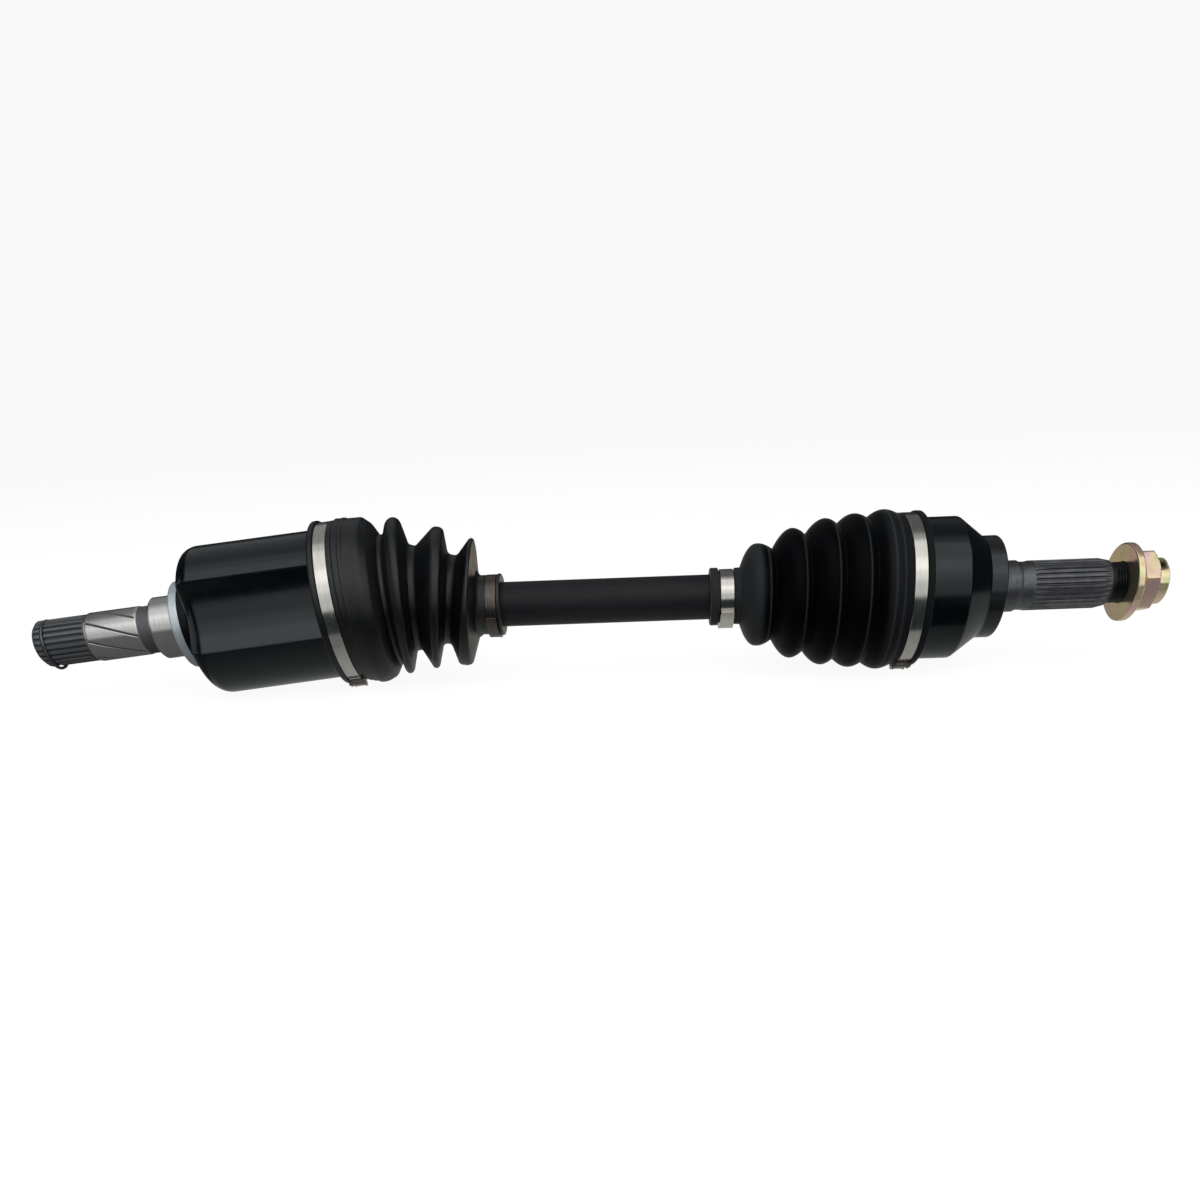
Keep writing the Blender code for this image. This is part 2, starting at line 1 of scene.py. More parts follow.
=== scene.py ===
"""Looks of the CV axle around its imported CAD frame: fine meshes, materials, light and camera.

Outlines are in millimetres in one of three local frames, each with X along its own axis towards the
hub: the bar's and the housing's start at the tripod joint's centre, the bell's at the ball joint's.
Angles round an axis run from +Y over +Z, so 90 is up and 180 faces the camera.
"""

import json
import math
from math import cos, pi, radians, sin, sqrt

import bpy
import numpy as np
from mathutils import Matrix, Vector


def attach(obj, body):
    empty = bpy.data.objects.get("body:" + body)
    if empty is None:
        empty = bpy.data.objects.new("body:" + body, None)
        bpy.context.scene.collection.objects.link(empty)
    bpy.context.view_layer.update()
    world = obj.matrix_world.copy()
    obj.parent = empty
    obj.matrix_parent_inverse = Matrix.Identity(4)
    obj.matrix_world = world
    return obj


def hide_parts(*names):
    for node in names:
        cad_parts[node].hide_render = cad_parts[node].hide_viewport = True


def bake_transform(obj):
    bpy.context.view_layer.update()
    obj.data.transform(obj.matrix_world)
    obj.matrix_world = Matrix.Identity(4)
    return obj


MM = 0.001

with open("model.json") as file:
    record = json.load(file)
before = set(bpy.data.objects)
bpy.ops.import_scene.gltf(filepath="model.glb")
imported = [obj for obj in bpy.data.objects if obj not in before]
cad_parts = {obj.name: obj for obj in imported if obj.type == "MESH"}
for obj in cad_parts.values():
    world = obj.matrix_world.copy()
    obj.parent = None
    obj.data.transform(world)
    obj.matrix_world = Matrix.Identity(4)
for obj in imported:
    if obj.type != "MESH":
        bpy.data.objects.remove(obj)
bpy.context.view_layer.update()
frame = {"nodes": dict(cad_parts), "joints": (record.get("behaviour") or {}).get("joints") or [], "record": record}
joints = {joint["name"]: joint for joint in frame["joints"]}


# ---- local frames

def joint_frames():
    """Matrices, in metres, of the bar, housing and bell frames at rest."""
    tripod = Vector(joints["inner_yaw"]["pos_m"])
    ball = Vector(joints["outer_yaw"]["pos_m"])
    along = Vector((1.0, 0.0, 0.0))
    trunnion = Vector(joints["inner_yaw"]["axis"])
    across = along.cross(trunnion)
    housing_axis = -Vector(joints["plunge"]["axis"])
    lean = math.asin(housing_axis.dot(trunnion))
    swing = math.atan2(-housing_axis.dot(across), housing_axis.dot(along))
    turn = Matrix.Rotation(swing, 4, trunnion) @ Matrix.Rotation(lean, 4, across)
    return {
        "bar": Matrix.Translation(tripod),
        "housing": Matrix.Translation(tripod) @ turn,
        "bell": Matrix.Translation(ball),
    }


FRAMES = joint_frames()
HOUSING_SLOPE = -Vector(joints["plunge"]["axis"])
HOUSING_SLOPE = Vector((HOUSING_SLOPE.y, HOUSING_SLOPE.z)) / HOUSING_SLOPE.x
SPAN = (joints["outer_yaw"]["pos_m"][0] - joints["inner_yaw"]["pos_m"][0]) / MM


# ---- outlines

def rounded(corners, degrees=10.0):
    """An outline through (x, r) or (x, r, radius) corners, each rounded by its radius."""
    points = []
    count = len(corners)
    for index, corner in enumerate(corners):
        here = np.array(corner[:2], float)
        radius = corner[2] if len(corner) > 2 else 0.0
        if radius <= 0.0 or index in (0, count - 1):
            points.append(here)
            continue
        before = np.array(corners[index - 1][:2], float) - here
        after = np.array(corners[index + 1][:2], float) - here
        before_length, after_length = np.linalg.norm(before), np.linalg.norm(after)
        before, after = before / before_length, after / after_length
        half = math.acos(float(np.clip(before @ after, -1, 1))) / 2
        if half > radians(89):
            points.append(here)
            continue
        reach = min(radius / math.tan(half), before_length * 0.49, after_length * 0.49)
        radius = reach * math.tan(half)
        centre = here + (before + after) / np.linalg.norm(before + after) * (radius / sin(half))
        start, end = here + before * reach - centre, here + after * reach - centre
        sweep = math.atan2(start[0] * end[1] - start[1] * end[0], float(start @ end))
        steps = max(2, int(abs(math.degrees(sweep)) / degrees))
        for step in range(steps + 1):
            angle = sweep * step / steps
            turned = (start[0] * cos(angle) - start[1] * sin(angle),
                      start[0] * sin(angle) + start[1] * cos(angle))
            points.append(centre + turned)
    return [tuple(point) for point in points]


def even_angles(count):
    return np.arange(count) * 2 * pi / count


def off_nearest(angles, count, offset_deg):
    """How far each angle is from the nearest of count equally spaced directions, in radians."""
    pitch = 2 * pi / count
    return np.abs((angles - radians(offset_deg) + pitch / 2) % pitch - pitch / 2)


def smoothstep(value):
    value = np.clip(value, 0.0, 1.0)
    return value * value * (3 - 2 * value)


# ---- meshes

def placed_object(name, data):
    """A new object in the scene that shows the data."""
    made = bpy.data.objects.new(name, data)
    bpy.context.scene.collection.objects.link(made)
    return made


def weigh_normals(piece):
    """Flattens the shading of large faces and keeps the sharp edges."""
    normals = piece.modifiers.new("weighted_normals", "WEIGHTED_NORMAL")
    normals.keep_sharp = True


def ring_rows(outline, angles):
    """Rows of points for an outline of (x, r), where r is a number or an array over the angles."""
    rows = []
    for x, radius in outline:
        radius = np.broadcast_to(radius, angles.shape)
        rows.append(np.stack([np.full(angles.shape, x), radius * np.cos(angles),
                              radius * np.sin(angles)], axis=1))
    return np.array(rows)


def mesh_object(name, points, faces, matrix, slot, sharp_deg=40.0, weighted=True):
    """A closed, smooth-shaded solid from points in millimetres of the frame that the matrix gives."""
    points = np.asarray(points, float)
    if signed_volume(points, faces) < 0:
        faces = [face[::-1] for face in faces]
    mesh = bpy.data.meshes.new(name)
    mesh.from_pydata((points * MM).tolist(), [], faces)
    mesh.validate()
    mesh.update()
    mesh.shade_smooth()
    mesh.set_sharp_from_angle(angle=radians(sharp_deg))
    made = placed_object(name, mesh)
    made.matrix_world = matrix
    made.data.materials.append(MATERIALS[slot])
    if weighted:
        weigh_normals(made)
    return made


def ring_faces(rows, steps, joined=False):
    """Quads between neighbouring closed rings of points; joined also links the last to the first."""
    faces = []
    for row in range(rows if joined else rows - 1):
        first, second = row * steps, (row + 1) % rows * steps
        for step in range(steps):
            after = (step + 1) % steps
            faces.append((first + step, first + after, second + after, second + step))
    return faces


def skin(name, rows, matrix, slot, joined=False, sharp_deg=40.0, weighted=True):
    """A closed solid through rows of points that wrap round. Unless joined, its ends are capped."""
    count, steps = rows.shape[:2]
    points = rows.reshape(-1, 3)
    faces = ring_faces(count, steps, joined)
    if not joined:
        middles = np.stack([rows[0].mean(axis=0), rows[-1].mean(axis=0)])
        points = np.concatenate([points, middles])
        near, far, last = count * steps, count * steps + 1, (count - 1) * steps
        for step in range(steps):
            after = (step + 1) % steps
            faces.append((near, after, step))
            faces.append((far, last + step, last + after))
    return mesh_object(name, points, faces, matrix, slot, sharp_deg, weighted)


def signed_volume(points, faces):
    """Six times the volume that the faces enclose; its sign tells whether they face outwards."""
    total = 0.0
    for sides in (3, 4):
        corners = np.array([face for face in faces if len(face) == sides])
        if len(corners):
            a, b, c = (points[corners[:, side]] for side in range(3))
            total += float((a * np.cross(b, c)).sum())
            if sides == 4:
                total += float((a * np.cross(c, points[corners[:, 3]])).sum())
    return total


def paint_attribute(piece, name, values, steps=1, caps=0.0):
    """Stores a number on each point for its material to read: each value steps times, then caps."""
    layer = piece.data.attributes.new(name, "FLOAT", "POINT")
    numbers = np.full(len(layer.data), caps, np.float32)
    values = np.repeat(values, steps)
    numbers[:len(values)] = values
    layer.data.foreach_set("value", numbers)


def turned(name, outline, matrix, slot, steps=128, joined=False, sharp_deg=40.0):
    return skin(name, ring_rows(outline, even_angles(steps)), matrix, slot, joined, sharp_deg)


def curved_plate(name, centre_deg, radius, x_range, arc_mm, height, matrix, slot, edge=0.25):
    """A curved plate on a cylinder: x_range wide, arc_mm long round the axis, standing from radius."""
    x_mid, x_half = (x_range[0] + x_range[1]) / 2, (x_range[1] - x_range[0]) / 2
    half_angle = arc_mm / radius / 2
    sides = np.linspace(-1, 1, 5)
    rounds = np.linspace(-1, 1, max(10, int(arc_mm / 1.5)) + 1)
    heights = np.linspace(0, 1, 4)

    def place(u, v, w):
        angle = radians(centre_deg) + v * half_angle
        lift = radius + w * height
        return (x_mid + u * x_half, lift * cos(angle), lift * sin(angle))

    points, faces, seen = [], [], {}

    def vertex(u, v, w):
        key = (round(u, 5), round(v, 5), round(w, 5))
        if key not in seen:
            seen[key] = len(points)
            points.append(place(u, v, w))
        return seen[key]

    def patch(first, second, to_point):
        for i in range(len(first) - 1):
            for j in range(len(second) - 1):
                corners = [(first[i], second[j]), (first[i + 1], second[j]),
                           (first[i + 1], second[j + 1]), (first[i], second[j + 1])]
                faces.append(tuple(vertex(*to_point(a, b)) for a, b in corners))

    patch(sides, rounds, lambda a, b: (a, b, 1.0))
    patch(rounds, sides, lambda a, b: (b, a, 0.0))
    patch(heights, rounds, lambda a, b: (1.0, b, a))
    patch(rounds, heights, lambda a, b: (-1.0, a, b))
    patch(sides, heights, lambda a, b: (a, -1.0, b))
    patch(heights, sides, lambda a, b: (b, 1.0, a))
    made = mesh_object(name, points, faces, matrix, slot, weighted=False)
    bevel = made.modifiers.new("edge", "BEVEL")
    bevel.width = edge * MM
    bevel.segments = 3
    bevel.limit_method = "ANGLE"
    bevel.angle_limit = radians(40)
    weigh_normals(made)
    return made


# ---- materials

class Nodes:
    """Short calls for building one material's node tree."""

    def __init__(self, name):
        self.material = bpy.data.materials.new(name)
        self.material.use_nodes = True
        self.tree = self.material.node_tree
        self.shader = self.tree.nodes["Principled BSDF"]
        self.coordinates = self.tree.nodes.new("ShaderNodeTexCoord").outputs["Object"]

    def link(self, output, target):
        self.tree.links.new(output, target)

    def add(self, kind, **values):
        """A new node with these input values, where an underscore stands for a space."""
        node = self.tree.nodes.new("ShaderNode" + kind)
        for name, value in values.items():
            node.inputs[name.replace("_", " ")].default_value = value
        return node

    def noise(self, scale, detail, stretch=None):
        """Noise over the piece's own coordinates, squeezed by stretch along each axis."""
        place = self.coordinates
        if stretch:
            mapping = self.add("Mapping", Scale=stretch)
            self.link(place, mapping.inputs["Vector"])
            place = mapping.outputs["Vector"]
        node = self.add("TexNoise", Scale=scale, Detail=detail, Roughness=0.55)
        self.link(place, node.inputs["Vector"])
        return node.outputs["Fac"]

    def ramp(self, factor, stops):
        node = self.add("ValToRGB")
        node.color_ramp.interpolation = "EASE"
        elements = node.color_ramp.elements
        while len(elements) < len(stops):
            elements.new(0.5)
        for element, (position, colour) in zip(elements, stops):
            element.position = position
            element.color = (*colour, 1.0)
        self.link(factor, node.inputs["Fac"])
        return node.outputs["Color"]

    def two_tone(self, factor, low_colour, high_colour, low=0.3, high=0.7):
        return self.ramp(factor, [(low, low_colour), (high, high_colour)])

    def remap(self, value, low, high, from_low=0.3, from_high=0.7):
        node = self.add("MapRange", From_Min=from_low, From_Max=from_high, To_Min=low, To_Max=high)
        self.link(value, node.inputs["Value"])
        return node.outputs["Result"]

    def mix(self, factor, first, second):
        node = self.add("Mix")
        node.data_type = "RGBA"
        self.link(factor, node.inputs["Factor"])
        for value, target in ((first, node.inputs["A"]), (second, node.inputs["B"])):
            if isinstance(value, tuple):
                target.default_value = (*value, 1.0)
            else:
                self.link(value, target)
        return node.outputs["Result"]

    def attribute(self, name):
        node = self.add("Attribute")
        node.attribute_name = name
        return node.outputs["Fac"]

    def rough(self, scale, detail, low, high, stretch=None):
        """Roughness that drifts between low and high."""
        return self.remap(self.noise(scale, detail, stretch), low, high)

    def grain(self, scale, detail, distance_mm, strength, under=None, stretch=None):
        """Noise as a bump, on top of the bump under it if there is one."""
        node = self.add("Bump", Strength=strength, Distance=distance_mm * MM)
        self.link(self.noise(scale, detail, stretch), node.inputs["Height"])
        if under is not None:
            self.link(under, node.inputs["Normal"])
        return node.outputs["Normal"]

    def finish(self, colour=None, roughness=None, normal=None, **fixed):
        for output, name in ((colour, "Base Color"), (roughness, "Roughness"), (normal, "Normal")):
            if isinstance(output, tuple):
                self.shader.inputs[name].default_value = (*output, 1.0)
            elif isinstance(output, float):
                self.shader.inputs[name].default_value = output
            elif output is not None:
                self.link(output, self.shader.inputs[name])
        for name, value in fixed.items():
            self.shader.inputs[name.replace("_", " ")].default_value = value
        return self.material


def black_paint():
    """Gloss black over a cast skin, greyer where the scuffed attribute says so."""
    made = Nodes("black_paint")
    blotches = made.noise(38.0, 4.0)
    colour = made.two_tone(blotches, (0.0010, 0.0018, 0.0028), (0.0022, 0.0034, 0.0048))
    colour = made.mix(made.attribute("scuffed"), colour, (0.026, 0.026, 0.027))
    rough = made.rough(160.0, 5.0, 0.16, 0.23)
    peel = made.grain(520.0, 2.0, 0.010, 0.35)
    return made.finish(colour, rough, made.grain(2600.0, 2.0, 0.004, 0.5, peel),
                       Specular_Tint=(0.90, 0.97, 1.0, 1.0))


def bar_paint():
    made = Nodes("bar_paint")
    streaks = made.noise(60.0, 4.0, stretch=(0.25, 1.0, 1.0))
    colour = made.two_tone(streaks, (0.0110, 0.0117, 0.0133), (0.0170, 0.0177, 0.0196))
    rough = made.rough(300.0, 5.0, 0.46, 0.58, stretch=(0.3, 1.0, 1.0))
    return made.finish(colour, rough, made.grain(1500.0, 3.0, 0.010, 0.5),
                       Specular_IOR_Level=0.22, Sheen_Weight=0.24, Sheen_Roughness=0.24)


def rubber_grain(made):
    """Fine grain on a soft unevenness."""
    grain = made.grain(2200.0, 3.0, 0.008, 0.6)
    return made.grain(120.0, 3.0, 0.05, 0.4, grain)


def rubber():
    """Satin rubber, painted lighter where its point attribute says so: a painted highlight."""
    made = Nodes("rubber")
    patches = made.noise(45.0, 5.0)
    colour = made.two_tone(patches, (0.0016, 0.0022, 0.0032), (0.0042, 0.0050, 0.0062), 0.35, 0.75)
    # The mix towards grey is a painted highlight.
    colour = made.mix(made.attribute("painted_highlight"), colour, (0.040, 0.040, 0.040))
    rough = made.rough(220.0, 5.0, 0.34, 0.46)
    return made.finish(colour, rough, rubber_grain(made))


def dull_rubber():
    """Matt thermoplastic that is black but for painted highlights on its creases and collars."""
    made = Nodes("dull_rubber")
    patches = made.noise(45.0, 5.0)
    colour = made.two_tone(patches, (0.0005, 0.0008, 0.0013), (0.0014, 0.0019, 0.0026), 0.35, 0.75)
    # The mix towards pale grey is a painted highlight.
    colour = made.mix(made.attribute("painted_highlight"), colour, (0.105, 0.110, 0.116))
    rough = made.rough(220.0, 5.0, 0.42, 0.56)
    return made.finish(colour, rough, rubber_grain(made),
                       Specular_IOR_Level=0.05, Sheen_Weight=0.34, Sheen_Roughness=0.24)


def clamp_steel():
    made = Nodes("clamp_steel")
    rolled = made.noise(90.0, 4.0, stretch=(7.0, 1.0, 1.0))
    colour = made.two_tone(rolled, (0.60, 0.58, 0.535), (0.68, 0.66, 0.61), 0.25, 0.75)
    rough = made.rough(120.0, 4.0, 0.15, 0.23, stretch=(6.0, 1.0, 1.0))
    lines = made.grain(500.0, 3.0, 0.0022, 0.5, stretch=(8.0, 1.0, 1.0))
    return made.finish(colour, rough, lines, Metallic=1.0)


def dull_clamp_steel():
    """Strap steel painted darker and browner than the bright straps: painted shade and a painted dark reflection.
    """
    made = Nodes("dull_clamp_steel")
    shade_mottle = made.noise(110.0, 4.0, stretch=(6.0, 1.0, 1.0))
    # The dark brown-grey colours are painted shade, not the steel's own colour.
    colour = made.two_tone(shade_mottle, (0.085, 0.072, 0.064), (0.145, 0.125, 0.112), 0.25, 0.75)
    rough = made.rough(200.0, 4.0, 0.30, 0.42)
    return made.finish(colour, rough, made.grain(600.0, 3.0, 0.003, 0.5), Metallic=1.0)


def ground_steel():
    """Bare machined steel, darker where the groove attribute says so."""
    made = Nodes("ground_steel")
    cut = made.noise(160.0, 5.0, stretch=(10.0, 0.5, 0.5))
    colour = made.two_tone(cut, (0.56, 0.55, 0.54), (0.66, 0.65, 0.635), 0.2, 0.8)
    colour = made.mix(made.attribute("groove"), colour, (0.112, 0.123, 0.138))
    rough = made.remap(made.attribute("groove"), 0.25, 0.62, 0.0, 0.7)
    lines = made.grain(700.0, 3.0, 0.0035, 0.5, stretch=(9.0, 0.5, 0.5))
    return made.finish(colour, rough, lines, Metallic=0.9)


def zinc():
    """Bright zinc plating, black where the covered attribute says so."""
    made = Nodes("zinc")
    colour = made.two_tone(made.noise(150.0, 5.0), (0.60, 0.69, 0.73), (0.72, 0.81, 0.84))
    colour = made.mix(made.attribute("covered"), colour, (0.0014, 0.0022, 0.0032))
    rough = made.rough(400.0, 4.0, 0.30, 0.42)
    return made.finish(colour, rough, made.grain(1600.0, 3.0, 0.004, 0.5), Metallic=0.6)


def phosphate():
    """The dark phosphated steel of the hub stub, nearly black where the oiled attribute says so."""
    made = Nodes("phosphate")
    colour = made.two_tone(made.noise(170.0, 6.0), (0.104, 0.106, 0.112), (0.150, 0.153, 0.160))
    colour = made.mix(made.attribute("oiled"), colour, (0.010, 0.011, 0.012))
    rough = made.rough(500.0, 5.0, 0.36, 0.48)
    lines = made.grain(600.0, 4.0, 0.006, 0.5, stretch=(10.0, 0.5, 0.5))
    return made.finish(colour, rough, made.grain(2400.0, 3.0, 0.006, 0.5, lines), Metallic=0.85)


def yellow_zinc():
    """Yellow passivated zinc whose film drifts between gold, pink and green, but for its dull stains."""
    made = Nodes("yellow_zinc")
    film = made.noise(70.0, 2.0)
    colour = made.ramp(film, [(0.28, (0.66, 0.70, 0.42)), (0.41, (0.84, 0.74, 0.42)),
                              (0.52, (0.90, 0.72, 0.48)), (0.61, (0.90, 0.62, 0.52)),
                              (0.76, (0.72, 0.54, 0.56))])
    colour = made.mix(made.attribute("dull"), colour, (0.020, 0.018, 0.019))
    rough = made.rough(200.0, 3.0, 0.15, 0.24)
    return made.finish(colour, rough, made.grain(400.0, 2.0, 0.002, 0.5), Metallic=0.74)


def spring_steel():
    made = Nodes("spring_steel")
    colour = made.two_tone(made.noise(220.0, 4.0), (0.13, 0.14, 0.155), (0.20, 0.215, 0.235))
    return made.finish(colour, made.rough(500.0, 3.0, 0.38, 0.50), Metallic=1.0)


def bearing_steel():
    made = Nodes("bearing_steel")
    colour = made.two_tone(made.noise(180.0, 4.0), (0.58, 0.58, 0.59), (0.68, 0.68, 0.69))
    return made.finish(colour, made.rough(800.0, 3.0, 0.10, 0.18), Metallic=1.0)


def forged_steel():
    made = Nodes("forged_steel")
    colour = made.two_tone(made.noise(200.0, 5.0), (0.28, 0.27, 0.26), (0.42, 0.41, 0.40))
    grain = made.grain(1200.0, 4.0, 0.02, 0.6)
    return made.finish(colour, made.rough(400.0, 3.0, 0.32, 0.45), grain, Metallic=1.0)


def bushing_polymer():
    made = Nodes("bushing_polymer")
    colour = made.two_tone(made.noise(150.0, 4.0), (0.010, 0.010, 0.011), (0.018, 0.018, 0.019))
    return made.finish(colour, 0.55, made.grain(1500.0, 3.0, 0.02, 0.5))


MAKERS = (black_paint, bar_paint, rubber, dull_rubber, clamp_steel, dull_clamp_steel, ground_steel, zinc,
          phosphate, yellow_zinc, spring_steel, bearing_steel, forged_steel, bushing_polymer)
MATERIALS = {maker.__name__: maker() for maker in MAKERS}
RECORD_SLOTS = {name: name for name in MATERIALS}
RECORD_SLOTS.update(ground_steel="black_paint", phosphate="black_paint", dull_rubber="rubber",
                    dull_clamp_steel="clamp_steel")


# ---- bar

def make_bar():
    neck, full = 9.5, 12.0
    outline = rounded([
        (-13.5, 0.01), (-13.5, 10.2, 0.6), (12.5, 10.2, 0.4), (13.5, neck, 0.4), (111.0, neck, 3.0),
        (116.0, full, 3.0), (SPAN - 99.0, full, 3.0), (SPAN - 94.5, neck, 3.0), (SPAN - 12.6, neck, 0.4),
        (SPAN - 12.0, 10.2, 0.4), (SPAN + 12.5, 10.2, 0.6), (SPAN + 12.5, 0.01)])
    bar = turned("bar_shaft", outline, FRAMES["bar"], "bar_paint", steps=96)
    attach(bar, "shaft")
    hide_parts("axle_bar")


# ---- tripod housing

LOBE_ANGLE = 105.0
LOBE_R, LOBE_SEAT_R, HOLLOW_R, LOBE_HALF = 40.05, 38.5, 31.2, 32.0
MOUTH, SEAT_FROM = 45.5, 32.4
CAVITY_LOBE_R, CAVITY_HUB_R, CAVITY_MOUTH_R, TRACK_HALF = 34.8, 19.5, 28.3, 17.4


def lobed_angles():
    """Ring angles that are close together where a lobe meets a hollow."""
    edge = [LOBE_HALF + step for step in (-1.5, -1.0, -0.6, -0.3, 0.0, 0.3, 0.6, 1.0, 1.5)]
    inside = [float(off) for off in range(-58, 61, 2) if min(abs(abs(off) - near) for near in edge) > 0.9]
    inside += edge + [-near for near in edge]
    full = sorted(LOBE_ANGLE + 120.0 * lobe + off for lobe in range(3) for off in inside)
    return np.radians(np.array(full))


def lobe_outline(angles, lobe_r, hollow_r):
    """Three lobes with a concave hollow between each pair, their edges slightly rounded."""
    off = off_nearest(angles, 3, LOBE_ANGLE + 60.0)
    edge = radians(60.0 - LOBE_HALF)
    edge_x, edge_y = lobe_r * cos(edge), lobe_r * sin(edge)
    bow = max(edge_x - hollow_r, 0.3)
    arc = (edge_y ** 2 + bow ** 2) / (2 * bow)
    centre = hollow_r + arc
    half = centre * np.cos(off)
    hollow = half - np.sqrt(np.maximum(half ** 2 - centre ** 2 + arc ** 2, 0.0))
    radius = np.where(off >= edge, lobe_r, np.minimum(hollow, lobe_r))
    rounding = 0.35 * np.exp(-((off - edge) / radians(0.9)) ** 2)
    return radius - rounding


def track_outline(angles, hub_r, lobe_r=CAVITY_LOBE_R):
    off = off_nearest(angles, 3, LOBE_ANGLE)
    across = TRACK_HALF / np.maximum(np.sin(off), 1e-6)
    return np.maximum(hub_r, np.minimum(lobe_r, across))


def make_housing_cup():
    """The black three-lobed housing, from its closed back round to the roller tracks inside."""
    angles = lobed_angles()
    outside = lobe_outline(angles, LOBE_R, HOLLOW_R)
    seat = lobe_outline(angles, LOBE_SEAT_R, HOLLOW_R - 0.9)
    track = track_outline(angles, CAVITY_HUB_R)
    track_end = track_outline(angles, CAVITY_HUB_R - 4.0, CAVITY_LOBE_R - 4.0)
    shoulder_from, shoulder_long, shoulder_high, shoulder_steps = -40.0, 8.2, 6.4, 10
    outline = [(-40.4, 14.0), (-40.5, 20.0), (-40.5, 23.8), (-40.4, 26.0)]
    for step in range(shoulder_steps + 1):
        angle = radians(90.0 / shoulder_steps * step)
        drop = shoulder_high * (1 - sin(angle))
        outline.append((shoulder_from + shoulder_long * (1 - cos(angle)), outside - drop))
    outline += [(-20.0, outside), (0.0, outside), (SEAT_FROM - 1.0, outside),
                (SEAT_FROM - 0.2, outside - 0.3), (SEAT_FROM, seat), (MOUTH - 0.6, seat),
                (MOUTH, seat - 0.6), (MOUTH, track_outline(angles, CAVITY_MOUTH_R)), (12.0, track),
                (-30.0, track), (-33.0, track_end), (-33.0, 2.0)]
    cup = skin("housing_cup", ring_rows(outline, angles), FRAMES["housing"], "black_paint")
    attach(cup, "housing")
    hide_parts("tripod_housing")


def toothed(angles, count, root_r, tip_r, tip_share=0.42, flank=0.34):
    """A ring of straight spline teeth; tip_share and flank are parts of half a tooth's pitch."""
    phase = (angles * count / (2 * pi)) % 1.0
    off = np.abs(phase - 0.5) * 2
    height = smoothstep((off - (1 - tip_share - flank)) / flank)
    return root_r + (tip_r - root_r) * height


POINTS_PER_TOOTH = 14
STUB_TIP = -131.8
STUB_TEETH, STUB_ROOT_R, STUB_TOP_R = 24, 11.55, 12.7
LAND_FROM, LAND_TO, LAND_R = -100.9, -73.4, 13.3
OIL_GROOVES, OIL_GROOVE_TWIST, OIL_GROOVE_DEPTH, OIL_GROOVE_HALF = 8, 0.030, 0.45, 0.65
OIL_GROOVE_START = 0.18  # share of the way from one groove to the next
NECK_SHADE, TOOTH_TOP_SHADE, CAP_SHADE = 0.84, 0.80, 0.3


def oil_groove_depth(angles, x):
    """How deep the slanting oil grooves are round the land at x, from 0 to 1."""
    phase = (angles - OIL_GROOVE_TWIST * x) * OIL_GROOVES / (2 * pi) + OIL_GROOVE_START
    off = np.abs((phase + 0.5) % 1.0 - 0.5) * 2 * pi / OIL_GROOVES * LAND_R
    return np.clip(1 - (off / OIL_GROOVE_HALF) ** 2, 0, 1)


def make_housing_stub():
    """The bare inner stub: splined tip, oil-grooved land, neck and seal journal."""
    angles = even_angles(STUB_TEETH * POINTS_PER_TOOTH)
    teeth = toothed(angles, STUB_TEETH, STUB_ROOT_R, STUB_TOP_R)
    ring_groove = 11.2
    lead_in = ((STUB_TIP + 0.8, 11.2), (STUB_TIP + 1.6, 12.0), (STUB_TIP + 2.3, 12.7), (-127.4, 12.7))
    outline = [(STUB_TIP, 0.2), (STUB_TIP, 6.0), (STUB_TIP, 10.2), (STUB_TIP + 0.2, 10.55)]
    outline += [(x, np.minimum(teeth, top)) for x, top in lead_in]
    outline += [(-126.6, np.minimum(teeth, 12.4)), (-126.5, ring_groove), (-124.5, ring_groove),
                (-124.4, np.minimum(teeth, 12.4)), (-124.1, teeth), (-118.0, teeth), (-110.0, teeth),
                (-104.8, teeth)]
    for share in (0.25, 0.5, 0.75, 1.0):
        outline.append((-104.8 + 1.9 * share, teeth + (STUB_TOP_R - teeth) * share ** 1.5))
    outline += [(-102.2, STUB_TOP_R), (-101.8, STUB_TOP_R + 0.1), (LAND_FROM, LAND_R - 0.05)]
    groove_rows = {}
    for x in np.arange(LAND_FROM + 0.3, LAND_TO, 0.3):
        depth = oil_groove_depth(angles, x)
        groove_rows[len(outline)] = depth
        outline.append((float(x), LAND_R - OIL_GROOVE_DEPTH * depth))
    outline += [(LAND_TO + 0.1, LAND_R - 0.05), (LAND_TO + 0.5, 12.95)]
    neck_from = len(outline)
    outline += [(LAND_TO + 0.9, 12.9), (-66.0, 12.9), (-65.5, 13.1), (-65.2, 13.6)]
    neck_to = len(outline)
    outline += [(-65.1, 15.4), (-64.9, 15.9), (-64.0, 16.75), (-63.5, 16.75), (-58.0, 16.75),
                (-50.4, 16.75), (-49.0, 16.75), (-48.8, 17.6), (-40.5, 17.6)]
    rows = ring_rows(outline, angles)
    stub = skin("housing_stub", rows, FRAMES["housing"], "ground_steel", sharp_deg=50.0)
    mask = np.zeros((len(outline), len(angles)))
    for row, depth in groove_rows.items():
        mask[row] = smoothstep(depth * 1.4)
    mask[neck_from:neck_to] = NECK_SHADE
    on_top = teeth > (STUB_ROOT_R + STUB_TOP_R) / 2
    first_land_row = min(groove_rows)
    mask[:first_land_row - 2] = 1.0 - (1.0 - TOOTH_TOP_SHADE) * on_top
    paint_attribute(stub, "groove", mask, caps=CAP_SHADE)
    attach(stub, "housing")
    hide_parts("tripod_housing")


def make_dust_ring():
    """The zinc ring behind the housing, its widest part black with the housing's paint."""
    steps = 128
    ring = rounded([(-46.0, 17.9), (-49.3, 17.9), (-49.3, 17.1), (-50.25, 17.1), (-50.25, 23.5, 1.0),
                    (-45.4, 23.5), (-45.3, 23.3), (-41.0, 23.3, 0.4), (-41.0, 17.9), (-46.0, 17.9)])[:-1]
    dust = turned("dust_seal_ring", ring, FRAMES["housing"], "zinc", steps, joined=True)
    covered = [1.0 if x > -45.35 else 0.0 for x, _ in ring]
    paint_attribute(dust, "covered", covered, steps)
    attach(dust, "housing")
    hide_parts("dust_ring")


